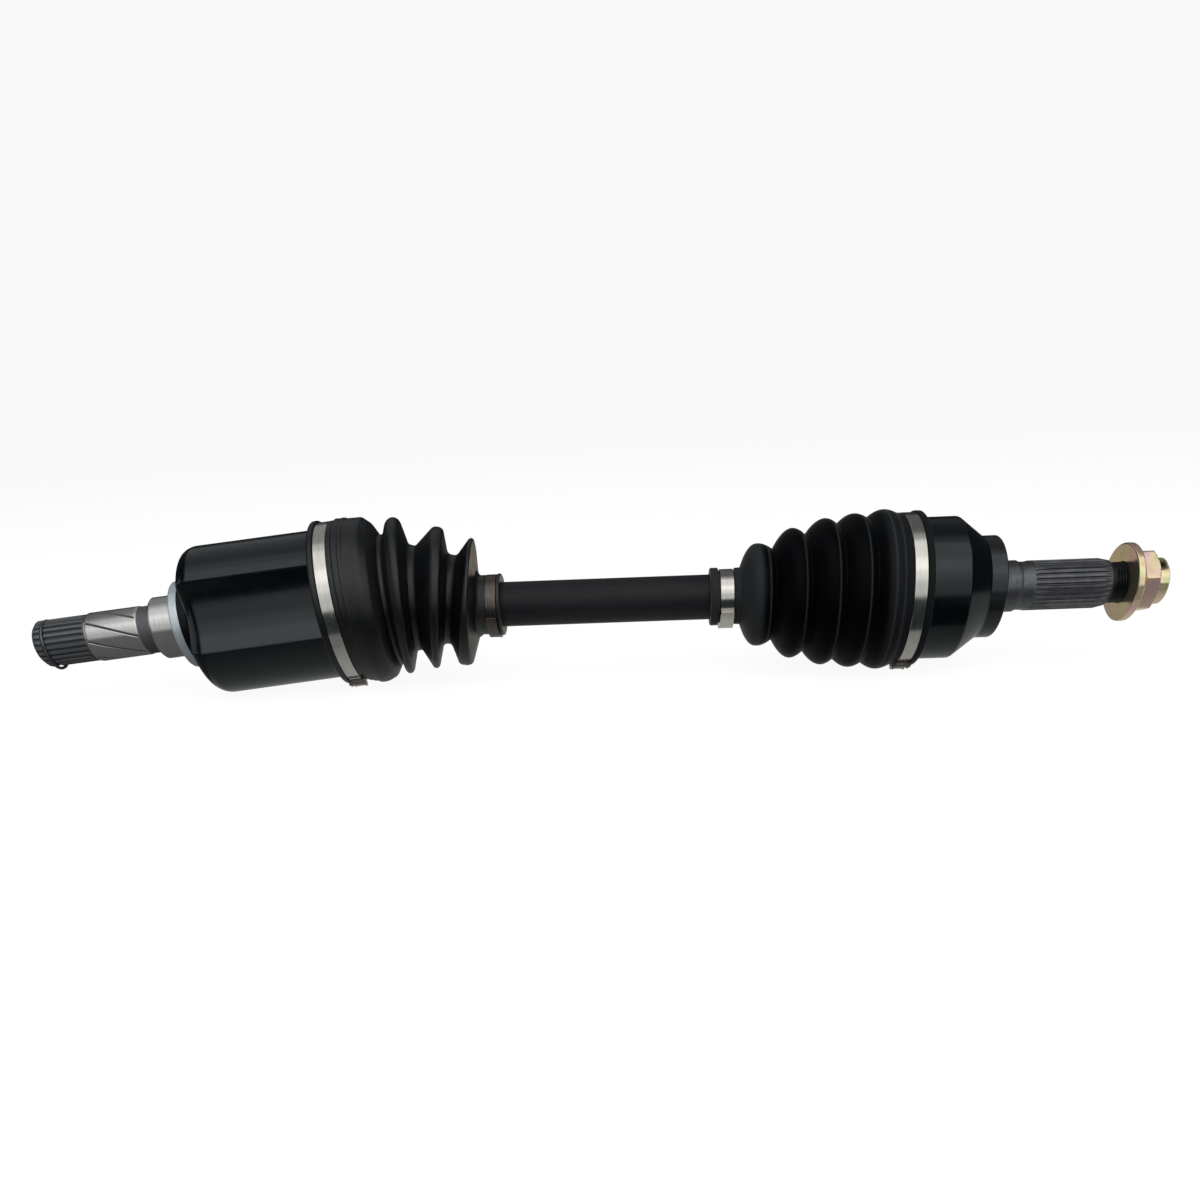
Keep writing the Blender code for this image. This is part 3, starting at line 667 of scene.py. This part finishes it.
def make_snap_wire():
    """The open round-wire ring in the stub's groove; it hangs a little below the axis."""
    wire_r, coil_r, sag, middle_x = 0.85, 12.08, 1.95, -125.5
    gap_at, gap, steps = radians(300.0), radians(26.0), 90
    round_wire = even_angles(12)[:, None]
    along = np.array([1.0, 0.0, 0.0])
    rows = []
    for step in range(steps + 1):
        around = gap_at + gap / 2 + (2 * pi - gap) * step / steps
        reach = coil_r + sag * max(0.0, -sin(around))
        middle = np.array([middle_x, reach * cos(around), reach * sin(around)])
        out = np.array([0.0, cos(around), sin(around)])
        rows.append(middle + wire_r * (np.cos(round_wire) * out + np.sin(round_wire) * along))
    wire = skin("stub_snap_wire", np.array(rows), FRAMES["housing"], "spring_steel", sharp_deg=60.0,
                weighted=False)
    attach(wire, "housing")
    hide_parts("stub_circlip")


# ---- bell

BALL_COUNT, GROOVE_R, GROOVE_PITCH_R, CAVITY_R = 6, 9.9, 24.4, 28.5
BELL_TEETH, BELL_ROOT_R, BELL_TOP_R = 29, 12.15, 13.15


def groove_outline(angles, sphere_r):
    """The cavity's radius round the axis: a sphere with a groove for each ball."""
    off = off_nearest(angles, BALL_COUNT, 0.0)
    reach = np.sqrt(np.maximum(GROOVE_R ** 2 - (GROOVE_PITCH_R * np.sin(off)) ** 2, 0.0))
    groove = np.where(reach > 0, GROOVE_PITCH_R * np.cos(off) + reach, 0.0)
    return np.maximum(sphere_r, groove)


def make_bell():
    """The black bell of the ball joint, from the shoulder face round to its cavity."""
    angles = even_angles(180)
    outline = rounded([(41.7, 10.0), (41.7, 26.9, 0.9), (33.0, 26.9, 0.6), (32.2, 27.5, 0.6),
                       (18.9, 37.4, 2.4), (-0.5, 37.4, 0.4), (-0.7, 36.2), (-12.0, 36.2, 0.5),
                       (-12.0, 34.6)])
    scuffed = [0.55 if x > 33.1 and radius > 20.0 else 0.0 for x, radius in outline]
    outline.append((-11.0, groove_outline(angles, 31.2)))
    outline += [(x, groove_outline(angles, sqrt(CAVITY_R ** 2 - x * x)))
                for x in (-8.0, -4.0, 0.0, 5.0, 10.0, 15.0, 18.5)]
    outline += [(x, sqrt(CAVITY_R ** 2 - x * x)) for x in (20.0, 24.0)] + [(28.0, 5.0)]
    bell = skin("bell_cup", ring_rows(outline, angles), FRAMES["bell"], "black_paint")
    paint_attribute(bell, "scuffed", scuffed, len(angles))
    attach(bell, "bell")
    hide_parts("outer_race")


def make_hub_stub():
    """The dark hub stub: turned neck, spline, lead-in and threaded end with its tip."""
    angles = even_angles(BELL_TEETH * POINTS_PER_TOOTH)
    teeth = toothed(angles, BELL_TEETH, BELL_ROOT_R, BELL_TOP_R, tip_share=0.46)
    outline = [(41.0, 12.0), (41.6, 13.9), (42.2, 13.6), (47.5, 13.6), (47.6, 13.5), (48.0, 13.5),
               (48.1, 13.6), (50.6, 13.6), (50.7, 13.5), (51.1, 13.5), (51.2, 13.6), (53.6, 13.6),
               (54.6, 12.9), (55.4, 12.75), (58.6, 12.75), (59.4, 12.95), (60.6, 13.15), (61.2, 13.15)]
    for share in (0.0, 0.3, 0.6, 1.0):
        outline.append((61.4 + 1.8 * share, BELL_TOP_R + (teeth - BELL_TOP_R) * share ** 1.3))
    outline += [(x, teeth) for x in (72.0, 80.0, 88.0, 95.0, 98.4)]
    outline += [(x, np.minimum(teeth, top)) for x, top in ((99.6, 12.9), (101.2, 12.5), (102.8, 12.2))]
    outline += [(103.7, 11.9), (104.3, 11.3), (104.8, 10.0)]
    oiled_from = len(outline) - 1
    thread_from, thread_to, pitch, crest, depth, run_out = 105.6, 131.4, 1.5, 10.75, 0.85, 1.2
    for x in np.arange(thread_from, thread_to, pitch / 10):
        phase = (x / pitch - angles / (2 * pi)) % 1.0
        ridge = np.clip((1 - np.abs(phase - 0.5) * 2) * 1.25, 0, 1)
        fade = min(1.0, (x - thread_from) / run_out, (thread_to - x) / run_out)
        outline.append((float(x), crest - depth + depth * ridge * fade))
    outline += [(131.6, 9.8), (132.6, 9.0), (132.6, 5.0), (132.6, 0.2)]
    stub = skin("hub_stub", ring_rows(outline, angles), FRAMES["bell"], "phosphate", sharp_deg=50.0)
    oiled = np.zeros(len(outline))
    oiled[oiled_from:] = 0.85
    paint_attribute(stub, "oiled", oiled, len(angles))
    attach(stub, "bell")
    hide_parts("outer_race")


# ---- boots

WALL, BOOT_STEPS = 1.6, 168


def with_inside(outline, wall=WALL):
    """The outline followed by its copy one wall further in, so that joined rows make a skin."""
    points = np.array(outline, float)
    ahead = np.gradient(points, axis=0)
    inward = np.stack([ahead[:, 1], -ahead[:, 0]], axis=1)
    inward /= np.maximum(np.linalg.norm(inward, axis=1, keepdims=True), 1e-9)
    inner = points + inward * wall
    return np.concatenate([points, inner[::-1]])


# How the stored inner boot sags and leans: distance along the bar, middle (y, z), and how far each
# ring leans about the level axis and about the upright one, in degrees.
LEAN_STATIONS = np.array([
    # x,     y,    z,    nod,  yaw
    (29.0, 0.0, 0.0, 0.0, 0.0),
    (47.0, 0.0, 0.0, 0.0, 0.0),
    (54.9, 5.55, 2.95, -0.6, 6.5),
    (61.0, 5.8, 3.0, -2.6, 7.0),
    (67.0, 5.95, 3.1, -2.4, 7.5),
    (72.9, 5.5, 4.85, 1.1, 9.5),
    (81.6, 3.4, 4.25, 2.9, 8.0),
    (93.4, 3.2, 3.7, 7.4, 8.0),
    (100.8, 2.7, 3.0, 9.8, 7.5),
    (111.0, 0.9, 1.4, 9.6, 4.5),
    (117.5, 0.1, 0.2, 2.0, 2.0),
    (121.0, 0.0, 0.0, 0.0, 0.0),
    (135.0, 0.0, 0.0, 0.0, 0.0),
])
HOUSING_NOD = -math.degrees(math.atan(HOUSING_SLOPE.y))
HOUSING_YAW = math.degrees(math.atan(HOUSING_SLOPE.x))
for station in LEAN_STATIONS[:2]:
    station[1:] = station[0] * HOUSING_SLOPE.x, station[0] * HOUSING_SLOPE.y, HOUSING_NOD, HOUSING_YAW


def eased(x, column):
    """The stations' column at x, by a curve with no overshoot between stations."""
    xs, ys = LEAN_STATIONS[:, 0], LEAN_STATIONS[:, column]
    slopes = np.gradient(ys, xs)
    rises = np.diff(ys) / np.diff(xs)
    flat = np.concatenate([[False], rises[:-1] * rises[1:] <= 0, [False]])
    slopes[flat] = 0.0
    index = int(np.clip(np.searchsorted(xs, x) - 1, 0, len(xs) - 2))
    width = xs[index + 1] - xs[index]
    t = (x - xs[index]) / width
    (start, end), (leaving, arriving) = ys[index:index + 2], slopes[index:index + 2]
    height = (2 * t ** 3 - 3 * t ** 2 + 1) * start + (3 * t ** 2 - 2 * t ** 3) * end
    return float(height + ((t ** 3 - 2 * t ** 2 + t) * leaving + (t ** 3 - t ** 2) * arriving) * width)


def leaning_rows(outline, angles):
    """Rings of the inner boot, each on its own middle and lean, in the bar's frame."""
    rings = ring_rows([(0.0, radius) for _, radius in outline], angles)
    for ring, (x, _) in zip(rings, outline):
        reach = np.clip(x, LEAN_STATIONS[0, 0], LEAN_STATIONS[-1, 0])
        y, z, nod, yaw = (eased(reach, column) for column in (1, 2, 3, 4))
        turn = Matrix.Rotation(radians(yaw), 3, "Z") @ Matrix.Rotation(radians(nod), 3, "Y")
        ring[:] = ring @ np.array(turn).T + np.array([x, y, z])
    return rings


def split_outline(outline, cuts):
    """Pieces of an outline between cut positions along x; neighbours share the cut point."""
    xs = np.array([x for x, _ in outline])
    bounds = [0] + [int(np.argmin(np.abs(xs - cut))) for cut in cuts] + [len(outline) - 1]
    return [outline[a:b + 1] for a, b in zip(bounds, bounds[1:])]


def boot_piece(name, outline, make_rows, matrix, slot, painted_highlight, wall=WALL):
    """One boot piece; the given function gives the strength of the painted highlight for a distance along the
    axis.
    """
    both = with_inside(outline, wall)
    angles = even_angles(BOOT_STEPS)
    piece = skin(name, make_rows(both, angles), matrix, slot, joined=True, sharp_deg=60.0, weighted=False)
    paint_attribute(piece, "painted_highlight", [painted_highlight(x) for x, _ in both], BOOT_STEPS)
    return piece


def lines_at(x, centres, width, strength):
    """Thin lines of painted highlight at these places."""
    return sum(strength * math.exp(-((x - centre) / width) ** 2) for centre in centres)


def between(x, low, high, strength, soft=1.5):
    """A level stretch of painted highlight with soft ends."""
    return strength * float(smoothstep((x - low) / soft + 0.5) * smoothstep((high - x) / soft + 0.5))


def inner_painted_highlight(x):
    """The inner boot's painted highlight: on creases, on the small collar and beside the large clamp."""
    creases = lines_at(x, (63.0, 94.8), 0.5, 0.35) + lines_at(x, (112.2,), 0.5, 0.2)
    return min(1.0, creases + between(x, 118.2, 132.0, 0.45) + between(x, 44.0, 53.0, 0.10, 3.0))


def outer_painted_highlight(x):
    """The outer boot's painted highlight: in creases, at the big end, and on the small collar and first fold."""
    creases = lines_at(x, (-83.2, -65.2, -48.7, -33.2), 0.45, 0.36)
    big_end = lines_at(x, (-20.8, -16.0), 0.6, 0.26) + between(x, -24.0, 0.0, 0.13, 3.0)
    return min(1.0, creases + big_end + between(x, -116.0, -87.0, 0.32, 4.0))


INNER_CUTS, INNER_WALL = (67.0, 81.6), 1.1


def make_inner_boot():
    near_end = 0.9916  # a length on the housing's axis, as seen along the bar
    big_end = [(32.8, 41.0), (32.8, 44.3, 1.3), (36.1, 44.3, 0.7), (36.2, 42.6, 0.2), (43.0, 42.6, 0.2),
               (43.1, 43.3, 0.5), (45.6, 43.3, 0.5), (46.2, 44.15, 0.5), (48.8, 44.15, 0.3),
               (49.3, 44.5, 0.25), (50.3, 44.5, 0.25), (50.8, 44.15, 0.3)]
    folds = [
        (57.0, 45.0, 6.0), (62.2, 42.0, 4.6), (66.2, 35.4, 1.4), (68.4, 35.2, 1.4),
        (70.4, 42.3, 3.0), (75.4, 42.1, 3.3), (79.3, 28.9, 2.4), (83.1, 28.0, 1.8),
        (91.5, 38.3, 2.7), (95.6, 38.0, 2.7), (98.3, 24.4, 2.6), (103.0, 24.0, 2.4),
        (109.2, 34.5, 2.6), (113.8, 34.1, 2.6), (116.6, 18.2, 1.6)]
    small_end = [(118.9, 16.0, 1.0), (122.7, 16.0, 0.5), (122.9, 15.3, 0.2), (129.1, 15.3, 0.2),
                 (129.2, 16.6, 0.5), (131.0, 16.6, 0.6), (131.0, 12.15)]
    corners = [(corner[0] * near_end,) + corner[1:] for corner in big_end] + folds + small_end
    outline = rounded(corners, degrees=9.0)
    pieces = split_outline(outline, INNER_CUTS)
    names = ("inner_boot_big_fold", "inner_boot_second_fold", "inner_boot_small_folds")
    made = [boot_piece(name, piece, leaning_rows, FRAMES["bar"], "rubber", inner_painted_highlight, INNER_WALL)
            for name, piece in zip(names, pieces)]
    ends = (("inner_boot_skin", "housing", 64.6, 46.4), ("tripod_rocker", "inner_boot_skin", 80.4, 69.0),
            ("shaft", "tripod_rocker", 117.0, 83.2))
    for piece, (first, second, start, end) in zip(made, ends):
        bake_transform(piece)
        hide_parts("inner_boot")


def fold_curve(points, step=0.35):
    """A wavy outline through valleys and crests in turn: round crests and tight valleys."""
    made = []
    for index, ((x0, r0), (x1, r1)) in enumerate(zip(points, points[1:])):
        rising, power = index % 2 == 0, 2.4 if index == 0 else 1.9
        count = max(4, int(abs(x1 - x0) / step))
        for tick in range(count):
            share = tick / count
            if rising:
                radius = r0 + (r1 - r0) * (1 - (1 - share) ** power)
            else:
                radius = r1 + (r0 - r1) * (1 - share ** power)
            made.append((x0 + (x1 - x0) * share, radius))
    made.append(points[-1])
    return made


def smoothed(outline, passes=3):
    """The outline with each inner point drawn towards its neighbours, a few times over."""
    points = np.array(outline, float)
    for _ in range(passes):
        points[1:-1] = points[1:-1] * 0.5 + (points[:-2] + points[2:]) * 0.25
    return [tuple(point) for point in points]


OUTER_CUTS = (-29.2,)


def make_outer_boot():
    small_end = [(-114.5, 12.2), (-114.5, 15.4, 0.8), (-110.1, 15.4, 0.5), (-109.9, 13.9, 0.2),
                 (-101.1, 13.9, 0.2), (-100.9, 15.0, 0.4), (-97.6, 15.2)]
    folds = [(-97.2, 16.6), (-88.1, 27.3), (-79.9, 23.9), (-69.5, 34.5), (-62.2, 30.6), (-51.8, 38.8),
             (-45.2, 35.3), (-36.3, 40.65), (-29.2, 37.9), (-20.6, 42.15), (-14.4, 40.3)]
    big_end = [(-14.0, 40.2), (-11.5, 40.1, 0.3), (-11.3, 39.4, 0.15), (-4.3, 39.4, 0.15),
               (-4.2, 40.95, 0.6), (-0.8, 40.95, 0.9), (-0.8, 37.6)]
    outline = rounded(small_end) + smoothed(fold_curve(folds)) + rounded(big_end)
    yawing, pitching = split_outline(outline, OUTER_CUTS)
    bell = FRAMES["bell"]
    long_piece = boot_piece("outer_boot_folds", yawing, ring_rows, bell, "dull_rubber", outer_painted_highlight)
    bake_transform(long_piece)
    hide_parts("outer_boot")
    end_piece = boot_piece("outer_boot_big_end", pitching, ring_rows, bell, "dull_rubber", outer_painted_highlight)
    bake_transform(end_piece)
    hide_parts("outer_boot")


# ---- clamps

def strap(name, x_range, radius, thickness, matrix, body, node, overlap=None, slot="clamp_steel"):
    """A thin band; overlap (from_deg, to_deg, lift) adds the strap's second layer."""
    x0, x1 = x_range
    edge = 0.15
    top = radius + thickness
    outline = [(x0, radius), (x0, top - edge), (x0 + edge, top), (x1 - edge, top), (x1, top - edge),
               (x1, radius)]
    band = turned(name, outline, matrix, slot, steps=240, joined=True)
    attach(band, body)
    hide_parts(node)
    if overlap:
        from_deg, to_deg, lift = overlap
        arc = radians(to_deg - from_deg) * radius
        tab = curved_plate(name + "_overlap", (from_deg + to_deg) / 2, radius, (x0 + 0.1, x1 - 0.1), arc,
                            thickness + lift, matrix, slot)
        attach(tab, body)
        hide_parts(node)


def buckle(prefix, x_range, radius, centre_deg, matrix, body, node, height):
    """The folded lock of a strap: a bridge over the strap and, past a gap, its turned-up end."""
    x0, x1 = x_range
    apart = math.degrees(4.6 / radius)
    # The bridge takes the darker strap steel as painted shade; the tail keeps the bright steel.
    bridge = curved_plate(prefix + "_bridge", centre_deg - apart, radius, (x0 - 0.7, x1 + 0.7), 7.2, height,
                           matrix, "dull_clamp_steel", edge=0.5)
    tail = curved_plate(prefix + "_tail", centre_deg + apart, radius, (x0 + 0.2, x1 - 0.2), 5.0,
                         height * 1.12, matrix, "clamp_steel", edge=0.5)
    for piece in (bridge, tail):
        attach(piece, body)
        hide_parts(node)


def make_clamps():
    housing, bell, bar = FRAMES["housing"], FRAMES["bell"], FRAMES["bar"]
    under_lock = (240.0, 268.0, 0.3)
    inner_node, outer_node = "inner_boot_large_clamp", "outer_boot_large_clamp"
    inner_large, outer_large = (36.3, 42.95), (-11.1, -4.5)
    strap("inner_large_strap", inner_large, 42.75, 0.6, housing, "housing", inner_node, under_lock)
    buckle("inner_large_lock", inner_large, 43.3, 253.0, housing, "housing", inner_node, 2.9)
    strap("outer_large_strap", outer_large, 39.55, 0.6, bell, "bell", outer_node, under_lock)
    buckle("outer_large_lock", outer_large, 40.1, 251.0, bell, "bell", outer_node, 2.3)
    # The inner small strap and its overlap take the darker strap steel as a painted dark reflection.
    strap("inner_small_strap", (123.0, 129.0), 15.5, 0.7, bar, "shaft", "inner_boot_small_clamp",
          overlap=(192.0, 292.0, 1.5), slot="dull_clamp_steel")
    strap("outer_small_strap", (-109.2, -101.8), 13.95, 0.6, bell, "shaft", "outer_boot_small_clamp",
          overlap=(197.0, 300.0, 2.6))


# ---- washer and nut

def make_washer():
    """The flat washer; the face towards the bell is duller than its rim."""
    steps = 144
    outline = rounded([(112.6, 11.1), (112.6, 20.6, 0.8), (116.4, 20.6, 0.8), (116.4, 11.1)])
    washer = turned("hub_washer_plate", outline, FRAMES["bell"], "yellow_zinc", steps, joined=True)
    face = [0.5 if x < 112.65 else 0.0 for x, _ in outline]
    paint_attribute(washer, "dull", face, steps)
    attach(washer, "washer")
    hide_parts("hub_washer")


def hexagon(angles, across_flats, corner_deg):
    """The radius of a hexagon whose corners, one of them at corner_deg, are cut a little short."""
    cut_deg = 28.6
    off = off_nearest(angles, 6, corner_deg + 30.0)
    corner = across_flats / 2 / np.cos(off)
    return np.minimum(corner, across_flats / 2 / cos(radians(cut_deg)))


def make_nut():
    """Flanged nut with chamfered hexagon and a thin collar that is staked in at the top."""
    angles = even_angles(288)
    flats = hexagon(angles, 30.0, 162.0)
    outline = [(116.7, 11.1), (116.7, 16.2), (116.9, 16.8), (117.2, 17.0), (118.0, 17.0), (118.3, 16.8),
               (118.5, 16.3), (118.6, np.minimum(flats, 16.2)), (118.8, flats), (125.4, flats)]
    outline += [(125.6 + 1.7 * share, np.minimum(flats, 17.1 - 2.5 * share))
                for share in (0.0, 0.25, 0.5, 0.75, 1.0)]
    outline += [(127.5, 13.4), (127.6, 12.6), (127.9, 12.2)]
    dent_deg, dent_outside, dent_inside = 120.0, 0.85, 0.2
    dent_off = np.abs((angles - radians(dent_deg) + pi) % (2 * pi) - pi)
    dent = smoothstep(1.15 - dent_off * 2.4)
    for x, share in ((128.3, 0.1), (129.0, 0.8), (129.6, 1.0), (131.2, 1.0), (132.2, 0.9), (133.1, 0.5),
                     (133.4, 0.3)):
        outline.append((x, (12.15 if x < 133.2 else 11.95) - dent_outside * dent * share))
    for x, share in ((133.5, 0.3), (133.2, 0.5), (132.0, 1.0), (130.6, 1.0), (129.0, 0.8), (127.5, 0.0)):
        outline.append((x, 11.2 - dent_inside * dent * share))
    nut = skin("hub_nut_body", ring_rows(outline, angles), FRAMES["bell"], "yellow_zinc", joined=True,
               sharp_deg=30.0)
    stain = [0.96 if 128.5 < x < 132.5 else 0.0 for x, _ in outline]
    paint_attribute(nut, "dull", np.outer(stain, dent))
    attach(nut, "nut")
    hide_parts("hub_nut")


# ---- CAD nodes that stay

def paint_cad_nodes():
    """The sealed inner pieces keep their CAD shape and get the procedural finishes."""
    for entry in frame["record"]["subparts"]:
        node = frame["nodes"][entry["node"]]
        node.data.materials.clear()
        node.data.materials.append(MATERIALS[entry["material_slot"]])


# ---- stage, light and camera

def camera_only(piece, seen):
    """Sets whether the camera sees this stage piece, or only reflections and bounced light do."""
    piece.visible_camera = seen
    piece.visible_glossy = not seen
    piece.visible_diffuse = not seen
    piece.visible_transmission = not seen


TABLE_FRONT, TABLE_LEFT, TABLE_RIGHT = -0.066, -0.225, 0.75
CARD_BACK = TABLE_FRONT - 0.001

# Dark, faintly glowing cards beside the table: name, left, right, front, back, glow.
REFLECTION_CARDS = (
    ("card_under_stub", -0.60, -0.227, -0.30, 0.10, 0.10),
    ("card_before_housing", TABLE_LEFT, -0.08, -0.105, CARD_BACK, 0.18),
    ("card_before_nut", 0.265, TABLE_RIGHT, -0.30, CARD_BACK, 0.15),
)


def stage_material(name, colour, glow):
    made = Nodes(name)
    spots = made.noise(6.0, 2.0)
    shade = made.ramp(spots, [(0.3, tuple(value * 0.985 for value in colour)), (0.7, colour)])
    made.shader.inputs["Emission Color"].default_value = (1.0, 1.0, 1.0, 1.0)
    return made.finish(shade, 0.9, Specular_IOR_Level=0.0, Emission_Strength=glow)


def table_material():
    """The table top as the paint mirrors it: dim in front, brighter and warmer behind the axle."""
    made = Nodes("table_grey")
    apart = made.add("SeparateXYZ")
    made.link(made.coordinates, apart.inputs["Vector"])
    depth = made.remap(apart.outputs["Y"], 0.0, 1.0, TABLE_FRONT, 0.22)
    glow = made.ramp(depth, [(0.0, (0.10, 0.11, 0.12)), (0.22, (0.34, 0.35, 0.35)),
                             (0.45, (0.48, 0.46, 0.41)), (1.0, (0.66, 0.57, 0.46))])
    made.link(glow, made.shader.inputs["Emission Color"])
    return made.finish((0.42, 0.41, 0.38), 0.9, Specular_IOR_Level=0.0, Emission_Strength=1.0)


def flat_piece(name, left, right, front, back, material):
    """A level rectangle just below the axle that only reflections and bounced light see."""
    sheet = bpy.data.meshes.new(name)
    sheet.from_pydata([(left, front, 0), (right, front, 0), (right, back, 0), (left, back, 0)], [],
                      [(0, 1, 2, 3)])
    sheet.materials.append(material)
    piece = placed_object(name, sheet)
    piece.location.z = -0.001
    camera_only(piece, False)
    return piece


def make_stage():
    """A pale floor that curves up into a backdrop, and the darker table top that the paint mirrors."""
    steps, flat_r, curve_r, top_z = 96, 2500.0, 1500.0, 4200.0
    outline = [(0.0, 0.05), (0.0, 400.0), (0.0, 1600.0)]
    for turn in range(0, 91, 10):
        angle = radians(turn)
        outline.append((curve_r * (1 - cos(angle)), flat_r + curve_r * sin(angle)))
    outline.append((top_z, flat_r + curve_r))
    rows = ring_rows(outline, even_angles(steps))
    points = np.stack([rows[..., 1], rows[..., 2], rows[..., 0]], axis=-1)
    mesh = bpy.data.meshes.new("studio_floor")
    mesh.from_pydata((points.reshape(-1, 3) * MM).tolist(), [], ring_faces(len(outline), steps))
    mesh.shade_smooth()
    mesh.materials.append(stage_material("studio_white", (0.20, 0.20, 0.20), 0.93))
    floor = placed_object("studio_floor", mesh)
    floor.location.z = -0.0005
    camera_only(floor, True)
    top = flat_piece("table_top", TABLE_LEFT, TABLE_RIGHT, TABLE_FRONT, 0.55, table_material())
    for name, left, right, front, back, glow in REFLECTION_CARDS:
        material = stage_material(name, (0.05, 0.05, 0.05), glow)
        piece = flat_piece(name, left, right, front, back, material)


def area_light(name, low_point, high_point, width, radiance, side=Vector((1.0, 0.0, 0.0))):
    """A soft box from low_point to high_point, width across along side, lit towards the axle."""
    low, high = Vector(low_point), Vector(high_point)
    centre = (low + high) / 2
    rise = (high - low).normalized()
    facing = side.cross(rise).normalized()
    if facing.dot(-centre) < 0:
        facing = -facing
        side = -side
    light = bpy.data.lights.new(name, "AREA")
    light.shape = "RECTANGLE"
    light.size, light.size_y = width, (high - low).length
    light.energy = radiance * pi * light.size * light.size_y
    lamp = placed_object(name, light)
    lamp.matrix_world = Matrix.Translation(centre) @ Matrix((side, rise, -facing)).transposed().to_4x4()
    lamp.visible_camera = False


BOX_END, BOX_FAR_END, BOX_SPLIT = 0.95, 1.55, 0.02

# Soft boxes along an arch over the axle: name, from and to elevation seen from the axle (90 is
# overhead, 0 level in front), left and right ends, radiance.
SOFT_BOXES = (
    ("box_low", 1.0, 25.0, -BOX_END, BOX_END, 0.66),
    ("box_front", 25.0, 40.0, -BOX_END, BOX_END, 1.00),
    ("box_key", 40.0, 58.0, -BOX_END, BOX_END, 1.40),
    ("box_over", 58.0, 88.0, -BOX_END, BOX_END, 1.00),
    ("box_low_right", 1.0, 40.0, BOX_END, BOX_FAR_END, 1.30),
    ("box_key_right", 40.0, 88.0, BOX_END, BOX_FAR_END, 1.20),
    ("box_top_left", 88.0, 101.0, -BOX_END, BOX_SPLIT, 0.62),
    ("box_top_right", 88.0, 101.0, BOX_SPLIT, BOX_END, 0.36),
    ("box_back_left", 101.0, 155.0, -BOX_END, BOX_SPLIT, 0.27),
    ("box_back_right", 101.0, 155.0, BOX_SPLIT, BOX_END, 0.09),
)
ARCH_RADIUS, AXLE_HEIGHT = 1.30, 0.043


def make_light():
    for name, low_deg, high_deg, left, right, radiance in SOFT_BOXES:
        ends = []
        for degrees in (low_deg, high_deg):
            angle = radians(degrees)
            ends.append(((left + right) / 2, -ARCH_RADIUS * cos(angle),
                         AXLE_HEIGHT + ARCH_RADIUS * sin(angle)))
        area_light(name, ends[0], ends[1], right - left, radiance)
    side_x, side_y = -1.35, -0.30
    area_light("box_left_side", (side_x, side_y, 0.02), (side_x, side_y, 0.85), 1.0, 0.45,
               Vector((0.0, 1.0, 0.0)))
    world = bpy.data.worlds.new("studio")
    bpy.context.scene.world = world
    world.use_nodes = True
    background = world.node_tree.nodes["Background"]
    background.inputs["Color"].default_value = (0.70, 0.88, 1.0, 1.0)
    background.inputs["Strength"].default_value = 0.035
    bpy.context.scene.view_settings.view_transform = "Standard"


def make_camera():
    camera = bpy.data.cameras.new("camera")
    camera.sensor_width, camera.lens = 36.0, 27.6696
    camera.shift_x, camera.shift_y, camera.clip_start = -0.0164, 0.2510, 0.01
    stand = placed_object("camera", camera)
    forward = Vector((-0.03091431, 0.86529923, -0.50030145))
    up = Vector((0.02577262, 0.50106434, 0.86502618))
    right = forward.cross(up)
    place = FRAMES["bar"].translation + Vector((208.610, -534.991, 113.365)) * MM
    stand.matrix_world = Matrix.Translation(place) @ Matrix((right, up, -forward)).transposed().to_4x4()
    bpy.context.scene.camera = stand


paint_cad_nodes()
make_bar()
make_housing_cup()
make_housing_stub()
make_dust_ring()
make_snap_wire()
make_bell()
make_hub_stub()
make_inner_boot()
make_outer_boot()
make_clamps()
make_washer()
make_nut()
make_stage()
make_light()
make_camera()
